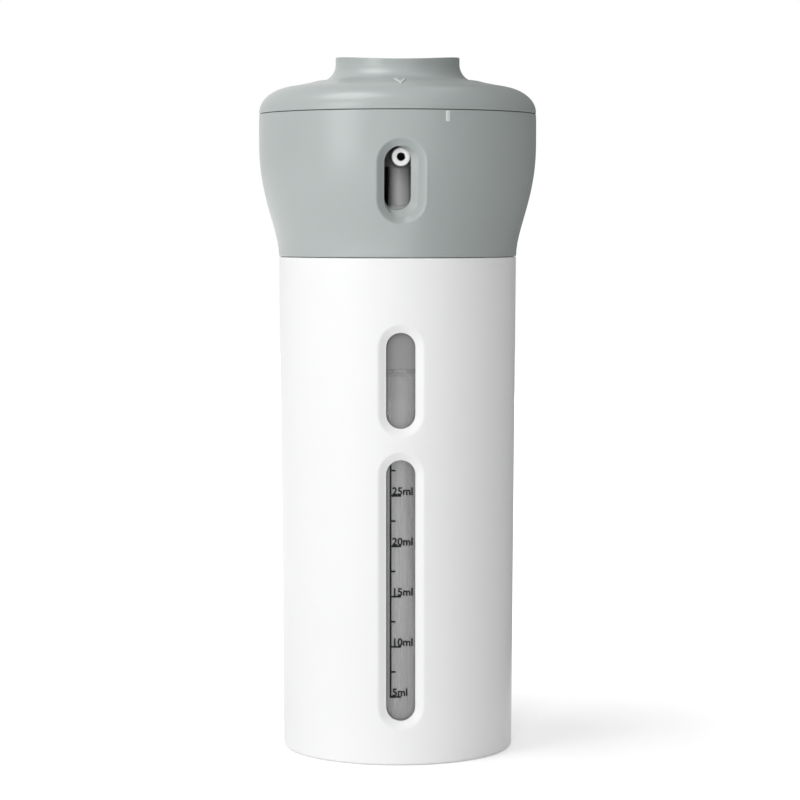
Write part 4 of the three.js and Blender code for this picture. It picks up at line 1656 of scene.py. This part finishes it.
@dataclass
class Carousel:
    """Turntable that carries the bottles, with the fixed deck and clip that it hangs from."""

    radius: float = 25.25
    seat: float = 7.8
    hub: float = 5.8
    groove: float = 5.0
    groove_top: float = 154.5
    hub_top: float = 155.7
    socket_corner: float = 3.8
    socket_margin: float = 0.9
    edge: float = 0.3
    sides: int = 112
    seat_sides: int = 56

    def build(self, bench: Bench) -> None:
        """Draws the turntable and dresses the nodes beside it.

        Args:
            bench: Takes the finished piece.
        """
        bench.fit(self.turntable(), Finishes.INNER, "carousel", Slot.INNER, ["turntable"])
        bench.dress("guide_deck", Finishes.INNER)
        bench.dress("hub_clip", Finishes.STEEL)
        bench.dress("click_spring", Finishes.STEEL)

    def turntable(self) -> bpy.types.Mesh:
        """Plate with four seats and the hub with its hexagonal socket, in one closed shell."""
        low, high = LAYOUT.turntable_bottom, LAYOUT.turntable_top
        sketch = MeshSketch(self.sides)
        under = sketch.ring(self.radius - self.edge, low)
        rim = [
            (self.radius, low + self.edge),
            (self.radius, high - self.edge),
            (self.radius - self.edge, high),
        ]
        over = sketch.chain(under, rim)
        seats_low, seats_high = [], []
        hole = polygon(0, 0, self.seat, self.seat_sides)
        for station in Station:
            place = station.place(LAYOUT.pump_radius)
            rings = [sketch.add(place @ Vector((x, y, z)) for x, y in hole) for z in (low, high)]
            sketch.strip(*rings)
            seats_low.append(rings[0])
            seats_high.append(rings[1])
        foot = sketch.ring(self.hub, high)
        sketch.fill(over, *seats_high, foot)
        corners = [
            (self.hub, high),
            (self.hub, LAYOUT.deck_top),
            (self.groove, LAYOUT.deck_top),
            (self.groove, self.groove_top),
            (self.hub, self.groove_top),
            (self.hub, self.hub_top),
            (self.socket_corner + self.socket_margin, self.hub_top),
        ]
        crown = sketch.chain(foot, eased(corners, self.edge)[1:])
        hexagon = polygon(0, 0, self.socket_corner, 6, FRONT_ANGLE)
        mouth = sketch.add((x, y, self.hub_top) for x, y in hexagon)
        end = sketch.add((x, y, low) for x, y in hexagon)
        sketch.fill(crown, mouth)
        sketch.strip(mouth, end)
        sketch.fill(under, *seats_low, end)
        return sketch.mesh("turntable_plate")


@dataclass
class Vessel:
    """One bottle with its closure, gasket and printed scale."""

    split: float = 1.0
    wall: float = 1.0
    corner: float = 3.5
    apex: float = 3.0
    least_corner: float = 0.8
    base: float = 6.4
    floor: float = 1.2
    foot_edge: float = 2.4
    top_edge: float = 0.03
    dent_insets: Flat = (1.6, 2.6)
    dent_rise: float = 0.4
    row_pitch: float = 8.0
    shoulder: float = 95.39
    neck_radius: float = 8.4
    neck_wall: float = 1.2
    neck_row: float = 6.2
    neck_ease: float = 0.35
    gasket_thickness: float = 1.0
    gasket_ease: float = 0.25
    gasket_sides: int = 48
    lid_edge: float = 0.6
    lid_wall: float = 1.0
    lid_chamfer: float = 0.04
    lid_row: float = 7.0
    tower_shoulder: float = 9.0
    tower_radius: float = 7.5
    tower_lip: float = 8.1
    tower_lip_height: float = 1.3
    tower_bore: float = 5.8
    tower_top: float = 131.3
    tower_ease: float = 0.3
    sides: int = 64
    amounts: tuple[int, ...] = (5, 10, 15, 20, 25)
    scale_base: float = 16.35
    scale_step: float = 12.18
    scale_left: float = -2.42
    scale_top: float = 75.6
    long_tick: float = 2.55
    short_tick: float = 1.2
    stroke: float = 0.42
    label_height: float = 2.55
    label_weight: float = 0.06
    label_gap: float = 0.36
    label_lift: float = 0.26
    print_relief: float = 0.06

    def quarter(self, inset: float) -> list[Flat]:
        """Quarter of a disc about +X with rounded corners.

        Args:
            inset: How far it is drawn in.

        Returns:
            The same number of points for any inset, anticlockwise.
        """
        radius = LAYOUT.bottle_radius - inset
        side = self.split / 2 + inset
        corner, apex = (max(round_off - inset, self.least_corner) for round_off in (self.corner, self.apex))
        half, square = math.pi / 4, 3 * math.pi / 4
        reach = math.sqrt((radius - corner) ** 2 - (side + corner) ** 2)
        lean = math.atan2(side + corner, reach)
        x = (radius - corner) * math.cos(half - lean)
        y = (radius - corner) * math.sin(half - lean)
        return [
            *circle(x, -y, corner, -square, lean - half, 8),
            *circle(0, 0, radius, lean - half, half - lean, 30)[1:-1],
            *circle(x, y, corner, half - lean, square, 8),
            *circle(math.sqrt(2) * (side + apex), 0, apex, square, 2 * math.pi - square, 8),
        ]

    def loop(self, sketch: MeshSketch, inset: float, level: float) -> list[int]:
        """Adds the quarter outline at a level."""
        return sketch.add((x, y, level) for x, y in self.quarter(inset))

    def round_on_axis(self, sketch: MeshSketch, radius: float, level: float) -> list[int]:
        """Adds a circle about the pump's axis at a level."""
        points = polygon(LAYOUT.pump_radius, 0, radius, sketch.sides)
        return sketch.add((x, y, level) for x, y in points)

    def stacked(self, sketch: MeshSketch, rows: Iterable[Flat]) -> tuple[list[int], list[int]]:
        """Joins quarter outlines, given by inset and level, from the first to the last."""
        loops = [self.loop(sketch, *row) for row in rows]
        sketch.stack(loops)
        return loops[0], loops[-1]

    def turned(self, sketch: MeshSketch, start: list[int], profile: Iterable[Flat]) -> list[int]:
        """Carries a circle about the pump's axis along a profile of radius and level."""
        rings = [start, *(self.round_on_axis(sketch, *row) for row in profile)]
        sketch.stack(rings)
        return rings[-1]

    def bottle(self) -> MeshSketch:
        """Clear bottle: outer wall, neck and inner wall in one closed shell."""
        sketch = MeshSketch(self.sides)
        foot, top = self.foot_edge, self.top_edge
        rise = [(foot - x, self.base + foot + y) for x, y in circle(0, 0, foot, -math.pi / 2, 0, 7)]
        fall = [(top - x, self.shoulder - top + y) for x, y in circle(0, 0, top, 0, math.pi / 2, 5)]
        sides = [(0.0, z) for z in spaced(self.base + foot, self.shoulder - top, self.row_pitch)[1:-1]]
        outer_foot, outer_top = self.stacked(sketch, [*rise, *sides, *fall])
        start, end = self.dent_insets
        dent = self.loop(sketch, foot + start, self.base)
        hollow = self.loop(sketch, foot + end, self.base + self.dent_rise)
        sketch.stack([outer_foot, dent, hollow])
        sketch.fill(hollow)
        neck = self.round_on_axis(sketch, self.neck_radius, self.shoulder)
        sketch.fill(outer_top, neck)
        bore = self.neck_radius - self.neck_wall
        ceiling = self.shoulder - self.wall
        corners = [
            (self.neck_radius, self.shoulder),
            (self.neck_radius, self.shoulder + self.neck_row),
            (self.neck_radius, LAYOUT.neck_top),
            (bore, LAYOUT.neck_top),
            (bore, ceiling),
        ]
        mouth = self.turned(sketch, neck, eased(corners, self.neck_ease)[1:])
        soft = foot - self.wall
        floor = self.base + self.floor
        bends = [(1 - math.sin(a), 1 - math.cos(a)) for a in (0.0, 0.5, 1.0, math.pi / 2)]
        drop = [(self.wall + soft * x, ceiling - soft * y) for x, y in bends]
        settle_in = [(self.wall + soft * y, floor + soft * x) for x, y in bends]
        inner_top, inner_foot = self.stacked(sketch, [*drop, *settle_in])
        sketch.fill(inner_top, mouth)
        sketch.fill(inner_foot)
        return sketch

    def closure(self) -> MeshSketch:
        """Closure: quarter-round lid, neck socket and tower in one closed shell."""
        sketch = MeshSketch(self.sides)
        low, high, ceiling = LAYOUT.closure_bottom, LAYOUT.closure_top, LAYOUT.closure_ceiling
        edge, chamfer = self.lid_edge, self.lid_chamfer
        rise = [(chamfer, low), (0.0, low + chamfer), (0.0, low + self.lid_row)]
        over = [(edge - x, high - edge + y) for x, y in circle(0, 0, edge, 0, math.pi / 2, 4)]
        rim, crown = self.stacked(sketch, [*rise, *over])
        seat, lip = LAYOUT.turntable_bottom - LAYOUT.gap, LAYOUT.turntable_top + LAYOUT.gap
        foot = self.round_on_axis(sketch, self.tower_shoulder, high)
        sketch.fill(crown, foot)
        corners = [
            (self.tower_shoulder, high),
            (self.tower_shoulder, seat),
            (self.tower_radius, seat),
            (self.tower_radius, lip),
            (self.tower_lip, lip),
            (self.tower_radius, lip + self.tower_lip_height),
            (self.tower_radius, self.tower_top),
            (self.tower_bore, self.tower_top),
            (self.tower_bore, ceiling),
        ]
        mouth = self.turned(sketch, foot, eased(corners, self.tower_ease)[1:])
        inner_rim, inner_top = self.stacked(sketch, [(self.lid_wall, low), (self.lid_wall, ceiling)])
        sketch.strip(rim, inner_rim)
        sketch.fill(inner_top, mouth)
        return sketch

    def gasket(self) -> MeshSketch:
        """Flat ring that seals the neck, about the pump's axis."""
        sketch = MeshSketch(self.gasket_sides)
        low = LAYOUT.neck_top + LAYOUT.gap
        high = low + self.gasket_thickness
        bore, rim = self.tower_bore, self.neck_radius
        sketch.lathe(eased([(bore, low), (rim, low), (rim, high), (bore, high)], self.gasket_ease))
        return sketch

    def build(self, bench: Bench) -> None:
        """Draws one vessel and sets it at each station.

        Args:
            bench: Takes the finished pieces.
        """
        bottle, closure, gasket, scale = self.bottle(), self.closure(), self.gasket(), self.scale()
        for station in Station:
            side, place = station.side, station.place()
            axis = station.place(LAYOUT.pump_radius)
            vessel = bottle.mesh(f"vessel_{side}", place)
            bench.fit(vessel, Finishes.BOTTLE, "carousel", Slot.BOTTLE, [f"bottle_{side}"])
            lid = closure.mesh(f"lid_{side}", place)
            bench.fit(lid, Finishes.INNER, "carousel", Slot.INNER, [f"closure_{side}"])
            seal = gasket.mesh(f"seal_{side}", axis)
            bench.fit(seal, Finishes.SEAL, "carousel", Slot.SEAL, [f"neck_gasket_{side}"])
            bench.fit(copied(scale, f"scale_{side}", place), Finishes.INK, "carousel")

    def scale(self) -> bpy.types.Mesh:
        """Printed millilitre scale, wrapped on the bottle's round front about +X."""
        values = {
            "Count": 2 * len(self.amounts),
            "Pitch": self.scale_step / 2 * MM,
            "Long Tick": self.long_tick * MM,
            "Short Tick": self.short_tick * MM,
            "Stroke": self.stroke * MM,
            "Relief": 2 * self.print_relief * MM,
            "Height": (self.scale_top - self.scale_base) * MM,
            "Material": Finishes.INK.material(),
        }
        ticks = grown("scale_ticks", ticks_tree(), values)
        ticks.transform(Matrix.Translation((self.scale_left * MM, 0.0, self.scale_base * MM)))
        parts = [ticks]
        for i, amount in enumerate(self.amounts):
            level = self.scale_base + i * self.scale_step + self.label_lift
            parts.append(self.label(f"{amount}ml", self.scale_left + self.label_gap, level))
        form = bmesh.new()
        for part in parts:
            form.from_mesh(part)
            bpy.data.meshes.remove(part)
        radius = LAYOUT.bottle_radius * MM
        for vertex in form.verts:
            angle = vertex.co.x / radius
            reach = radius + vertex.co.y
            vertex.co = Vector((reach * math.cos(angle), reach * math.sin(angle), vertex.co.z))
        mesh = bpy.data.meshes.new("scale_print")
        form.to_mesh(mesh)
        form.free()
        settle(mesh)
        return mesh

    def label(self, text: str, left: float, base: float) -> bpy.types.Mesh:
        """Makes a label as a flat solid.

        Args:
            text: What it says.
            left: Where it starts across the scale.
            base: Level of its baseline.

        Returns:
            The mesh, with X along the text, Y out of the surface and Z up, in metres.
        """
        curve = bpy.data.curves.new(text, "FONT")
        curve.body = text
        curve.size = self.label_height
        curve.extrude = self.print_relief
        curve.offset = self.label_weight
        curve.resolution_u = 3
        mesh = evaluated(text, placed(text, curve))
        stand = Matrix.Rotation(math.pi / 2, 4, "X")
        mesh.transform(Matrix.Scale(MM, 4) @ Matrix.Translation((left, 0.0, base)) @ stand)
        return mesh


@dataclass
class Pump:
    """One pump: housing, gland, ball, spring and tube, and the stem, head and nozzle that move."""

    stem_radius: float = 2.8
    stem_bore: float = 1.2
    stem_top: float = 145.1
    piston_low: float = 124.8
    piston_high: float = 128.8
    piston_radius: float = 4.2
    piston_waist: float = 0.5
    housing_bore: float = 4.5
    housing_radius: float = 5.5
    housing_flange: float = 7.2
    flange_thickness: float = 1.2
    inlet_seat: float = 109.8
    inlet_bottom: float = 107.8
    inlet_radius: float = 1.0
    socket_low: float = 101.8
    socket_bore: float = 2.3
    socket_radius: float = 3.3
    gland_seat: float = 133.1
    gland_top: float = 134.6
    gland_flange: float = 6.8
    gland_depth: float = 4.0
    ball_radius: float = 1.6
    spring_wire: float = 0.7
    spring_gap: float = 0.4
    spring_turns: float = 4.0
    spring_low: float = 110.1
    spring_high: float = 124.5
    tube_radius: float = 2.0
    tube_bore: float = 1.4
    tube_low: float = 9.1
    tube_high: float = 107.5
    head_radius: float = 6.0
    head_wall: float = 1.0
    head_low: float = 143.9
    head_high: float = 150.8
    head_hollow: float = 145.6
    spout_start: float = 3.6
    spout_root: float = 2.5
    spout_tip: float = 2.25
    spout_bore: float = 1.0
    nozzle_face: float = 30.15
    tip_radius: float = 2.2
    tip_thickness: float = 1.0
    tip_plug: float = 2.4
    tip_plug_radius: float = 1.4
    sides: int = 48

    def turned(self, corners: Sequence[Flat], ease: float = 0.25) -> MeshSketch:
        """Sketch of a piece turned about the pump's axis, its corners eased."""
        sketch = MeshSketch(self.sides)
        closed = corners[0][0] > MERGE_GAP
        loop = [*corners, corners[0], corners[1]] if closed else list(corners)
        rounded = eased(loop, ease)
        sketch.lathe(rounded[1:-1] if closed else rounded)
        return sketch

    def still_pieces(self) -> dict[str, tuple[MeshSketch, Finish, Slot]]:
        """Sketch, finish and slot of each piece that turns with the carousel only."""
        flange = LAYOUT.housing_top - self.flange_thickness
        housing = [
            (self.socket_bore, self.socket_low),
            (self.socket_radius, self.socket_low),
            (self.socket_radius, self.inlet_bottom),
            (self.housing_radius, self.inlet_bottom),
            (self.housing_radius, flange),
            (self.housing_flange, flange),
            (self.housing_flange, LAYOUT.housing_top),
            (self.housing_bore, LAYOUT.housing_top),
            (self.housing_bore, self.inlet_seat),
            (self.inlet_radius, self.inlet_seat),
            (self.inlet_radius, self.inlet_bottom),
            (self.socket_bore, self.inlet_bottom),
        ]
        bore, plug = self.stem_radius + LAYOUT.gap, self.housing_bore - LAYOUT.gap
        foot = self.gland_seat - self.gland_depth
        gland = [
            (bore, foot),
            (plug, foot),
            (plug, self.gland_seat),
            (self.gland_flange, self.gland_seat),
            (self.gland_flange, self.gland_top),
            (bore, self.gland_top),
        ]
        tube = [
            (self.tube_bore, self.tube_low),
            (self.tube_radius, self.tube_low),
            (self.tube_radius, self.tube_high),
            (self.tube_bore, self.tube_high),
        ]
        rise = math.sqrt(self.ball_radius**2 - self.inlet_radius**2)
        level = self.inlet_seat + rise + LAYOUT.gap
        ball = circle(0, level, self.ball_radius, -math.pi / 2, math.pi / 2, 16)
        ball[0], ball[-1] = (0.0, level - self.ball_radius), (0.0, level + self.ball_radius)
        return {
            "pump_housing": (self.turned(housing, ease=0.2), Finishes.PUMP, Slot.PUMP),
            "pump_gland": (self.turned(gland, ease=0.5), Finishes.PUMP, Slot.PUMP),
            "dip_tube": (self.turned(tube, ease=0.1), Finishes.TUBE, Slot.PUMP),
            "inlet_ball": (self.turned(ball, ease=0.0), Finishes.STEEL, Slot.STEEL),
        }

    def piston(self) -> MeshSketch:
        """Hollow stem with its waisted piston."""
        waist = (self.piston_low + self.piston_high) / 2
        return self.turned(
            [
                (self.stem_bore, self.piston_low),
                (self.piston_radius, self.piston_low),
                (self.piston_radius - self.piston_waist, waist),
                (self.piston_radius, self.piston_high),
                (self.stem_radius, self.piston_high),
                (self.stem_radius, self.stem_top),
                (self.stem_bore, self.stem_top),
            ]
        )

    def along_x(self, corners: Sequence[Flat], ease: float) -> MeshSketch:
        """Sketch of a piece turned about the nozzle's axis, which runs out along +X."""
        lay = Matrix.Translation((0, 0, LAYOUT.nozzle_level)) @ Matrix.Rotation(math.pi / 2, 4, "Y")
        return self.turned(corners, ease).turned(lay)

    def nozzle(self) -> MeshSketch:
        """White ring at the end of the spout."""
        face = self.nozzle_face - LAYOUT.pump_radius
        back = face - self.tip_thickness
        return self.along_x(
            [
                (self.spout_bore, back - self.tip_plug),
                (self.tip_plug_radius, back - self.tip_plug),
                (self.tip_plug_radius, back),
                (self.tip_radius, back),
                (self.tip_radius, face),
                (self.spout_bore, face),
            ],
            ease=0.28,
        )

    def head(self) -> bpy.types.Mesh:
        """Pump head: a rounded button over the stem with its spout, bored through."""
        socket, skirt = self.stem_radius + LAYOUT.gap, self.head_radius - self.head_wall
        end = self.nozzle_face - LAYOUT.pump_radius - self.tip_thickness - LAYOUT.gap
        body = self.turned(
            [
                (0.0, self.stem_top + LAYOUT.gap),
                (socket, self.stem_top + LAYOUT.gap),
                (socket, self.head_low),
                (socket + self.head_wall, self.head_low),
                (socket + self.head_wall, self.head_hollow),
                (skirt, self.head_hollow),
                (skirt, self.head_low),
                (self.head_radius, self.head_low),
                (self.head_radius, self.head_high),
                (0.0, self.head_high),
            ],
            ease=0.9,
        )
        root = [(0.0, self.spout_start), (self.spout_root, self.spout_start)]
        spout = self.along_x([*root, (self.spout_tip, end), (0.0, end)], ease=0.2)
        plug = self.tip_plug_radius + LAYOUT.gap
        start, over = 1.0, end + 1.0
        bore = self.along_x(
            [
                (0.0, start),
                (self.spout_bore, start),
                (self.spout_bore, end - self.tip_plug),
                (plug, end - self.tip_plug),
                (plug, over),
                (0.0, over),
            ],
            ease=0.0,
        )
        return worked("pump_head", body, [(Cut.JOIN, spout), (Cut.TAKE, bore)])

    def build(self, bench: Bench) -> None:
        """Draws one pump and sets it at each station.

        Args:
            bench: Takes the finished pieces.
        """
        still, piston, nozzle, head = self.still_pieces(), self.piston(), self.nozzle(), self.head()
        spring = Coil(
            self.housing_bore - self.spring_gap - self.spring_wire / 2,
            self.spring_wire,
            self.spring_turns,
            self.spring_low,
            self.spring_high,
        )
        for station in Station:
            side, place = station.side, station.place(LAYOUT.pump_radius)
            for name, (sketch, finish, slot) in still.items():
                mesh = sketch.mesh(f"{name}_dressed_{side}", place)
                bench.fit(mesh, finish, "carousel", slot, [f"{name}_{side}"])
            coil, node, joint = f"stem_spring_{side}", f"pump_spring_{side}", f"pump_{side}_press"
            spring.fit(bench, coil, "carousel", node, joint, place)
            body = f"pump_{side}"
            stem = piston.mesh(f"stem_{side}", place)
            bench.fit(stem, Finishes.PUMP, body, Slot.PUMP, [f"pump_piston_{side}"])
            tip = nozzle.mesh(f"nozzle_ring_{side}", place)
            bench.fit(tip, Finishes.PUMP, body, Slot.PUMP, [f"nozzle_tip_{side}"])
            top = copied(head, f"pump_head_{side}", place)
            # The pump head wears the actuator's painted shade.
            bench.fit(top, Finishes.ACTUATOR, body, Slot.INNER, [f"actuator_{side}"])


@dataclass
class Studio:
    """Pale floor, soft lamps and the camera at the photograph's viewing angle."""

    distance: float = 668.0
    eye_level: float = 130.8
    azimuth: float = -1.6
    aim: Spot = (0.6, 0.0, 86.4)
    lens: float = 120.9
    sensor: float = 36.0
    near_clip: float = 0.01
    ambient: float = 0.345
    lamp_aim: Spot = (0.0, 0.0, 0.09)
    matt: float = 0.9
    floor_size: float = 4.0
    floor_tone: float = 0.86
    floor_specular: float = 0.1
    shadow_reach: Flat = (0.05, 0.3)
    floor_glow: Flat = (0.38, 0.9)
    card_near: float = 0.07
    card_far: float = 0.45
    card_depth: float = 0.9
    card_height: float = 1.3
    card_tone: float = 0.2

    def build(self) -> None:
        """Sets up the camera, world, lamps and floor."""
        self.camera()
        self.world()
        self.lamp("front_strip", (-0.2, -1.26, 0.36), (0.2, 0.7), 4.4, glossy=False)
        self.lamp("left_box", (-0.76, -0.72, 0.4), (0.5, 0.8), 3.1)
        self.lamp("top_box", (-0.42, -0.15, 1.05), (0.6, 0.5), 3.5)
        self.lamp("back_fill", (0.4, 1.15, 0.5), (0.8, 0.8), 4.0, glossy=False)
        self.floor()
        self.card()
        bpy.context.scene.view_settings.view_transform = "Standard"

    @staticmethod
    def facing(eye: Vector, target: Spot) -> Euler:
        """How a camera or a lamp is turned to face a target."""
        return (Vector(target) - eye).to_track_quat("-Z", "Y").to_euler()

    def camera(self) -> None:
        """Makes the camera and aims it."""
        angle = math.radians(self.azimuth)
        eye = Vector((math.sin(angle), -math.cos(angle), 0.0)) * self.distance
        eye.z = self.eye_level
        data = bpy.data.cameras.new("studio_camera")
        data.sensor_width = self.sensor
        data.lens = self.lens
        data.clip_start = self.near_clip
        camera = placed("studio_camera", data)
        camera.location = eye * MM
        camera.rotation_euler = self.facing(eye, self.aim)
        bpy.context.scene.camera = camera

    @staticmethod
    def seen(wires: Wiring) -> bpy.types.NodeSocket:
        """One for rays that show the background: straight, reflected or through a clear piece."""
        path = wires.add("ShaderNodeLightPath").outputs
        direct = wires.math("MAXIMUM", path["Is Camera Ray"], path["Is Transmission Ray"])
        return wires.math("MAXIMUM", direct, path["Is Glossy Ray"])

    def world(self) -> None:
        """White where it is seen, soft ambient light elsewhere."""
        world = bpy.data.worlds.new("studio_world")
        world.use_nodes = True
        bpy.context.scene.world = world
        wires = Wiring(world.node_tree)
        strength = wires.math("MULTIPLY_ADD", self.seen(wires), 1.0 - self.ambient, self.ambient)
        wires.feed(world.node_tree.nodes["Background"], {"Color": WHITE, "Strength": strength})

    def lamp(self, name: str, spot: Spot, size: Flat, power: float, glossy: bool = True) -> None:
        """Hangs a soft lamp that faces the object.

        Args:
            name: Its name.
            spot: Where it hangs, in metres.
            size: Its width and height, in metres.
            power: Its power in watts.
            glossy: Whether it shows in reflections and through clear pieces.
        """
        data = bpy.data.lights.new(name, "AREA")
        data.shape = "RECTANGLE"
        data.size, data.size_y = size
        data.energy = power
        lamp = placed(name, data)
        lamp.location = spot
        lamp.rotation_euler = self.facing(Vector(spot), self.lamp_aim)
        lamp.visible_glossy = glossy
        lamp.visible_transmission = glossy

    def panel(
        self,
        name: str,
        finish: str,
        tone: float,
        corners: Sequence[Spot],
        faces: Sequence[tuple[int, ...]],
    ) -> tuple[bpy.types.Object, Wiring, bpy.types.Node]:
        """Makes a matt piece of the studio.

        Args:
            name: Its name.
            finish: Its material's name.
            tone: How pale it is.
            corners: Its corners, in metres.
            faces: The corners of each of its faces.

        Returns:
            The piece, its material's tree and its shader.
        """
        mesh = bpy.data.meshes.new(name)
        mesh.from_pydata(corners, [], faces)
        material, wires, shader = shaded(finish)
        wires.feed(shader, {"Base Color": (tone, tone, tone, 1.0), "Roughness": self.matt})
        mesh.materials.append(material)
        return placed(name, mesh), wires, shader

    def floor(self) -> None:
        """Lays the pale floor, which keeps the object's shadow."""
        half = self.floor_size / 2
        corners = [(-half, -half, 0.0), (half, -half, 0.0), (half, half, 0.0), (-half, half, 0.0)]
        floor, wires, shader = self.panel(
            "studio_floor", "studio_floor_pale", self.floor_tone, corners, [(0, 1, 2, 3)]
        )
        away = wires.add("ShaderNodeVectorMath", {0: wires.coords()}, operation="LENGTH").outputs["Value"]
        near, far = self.shadow_reach
        dim, bright = self.floor_glow
        spread = {"Value": away, "From Min": near, "From Max": far, "To Min": dim, "To Max": bright}
        glow = wires.add("ShaderNodeMapRange", spread, clamp=True).outputs["Result"]
        feeds = {
            "Specular IOR Level": self.floor_specular,
            "Emission Color": WHITE,
            "Emission Strength": wires.math("MULTIPLY", self.seen(wires), glow),
        }
        wires.feed(shader, feeds)

    def card(self) -> None:
        """Stands a grey card at the right, which only reflections show."""
        near, far, back, top = self.card_near, self.card_far, self.card_depth, self.card_height
        corners = [
            (near, -back, MM),
            (far, -back, MM),
            (far, -back, top),
            (near, back, MM),
            (far, back, MM),
            (far, back, top),
            (near, back, top),
        ]
        faces = [(0, 1, 4, 3), (1, 2, 5, 4), (4, 5, 6, 3)]
        card, _, _ = self.panel("studio_card", "studio_card_grey", self.card_tone, corners, faces)
        for rays in ("camera", "diffuse", "transmission", "shadow", "volume_scatter"):
            setattr(card, f"visible_{rays}", False)


def main() -> None:
    """Loads the frame and builds every sub-assembly over it."""
    logging.basicConfig(level=logging.INFO, format="%(name)s %(message)s")
    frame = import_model()
    Studio().build()
    bench = Bench(frame["nodes"])
    for assembly in (Sleeve(), HeadCollar(), SelectorCap(), Press(), Carousel(), Vessel(), Pump()):
        assembly.build(bench)
    bpy.context.view_layer.update()


if __name__ == "__main__":
    main()
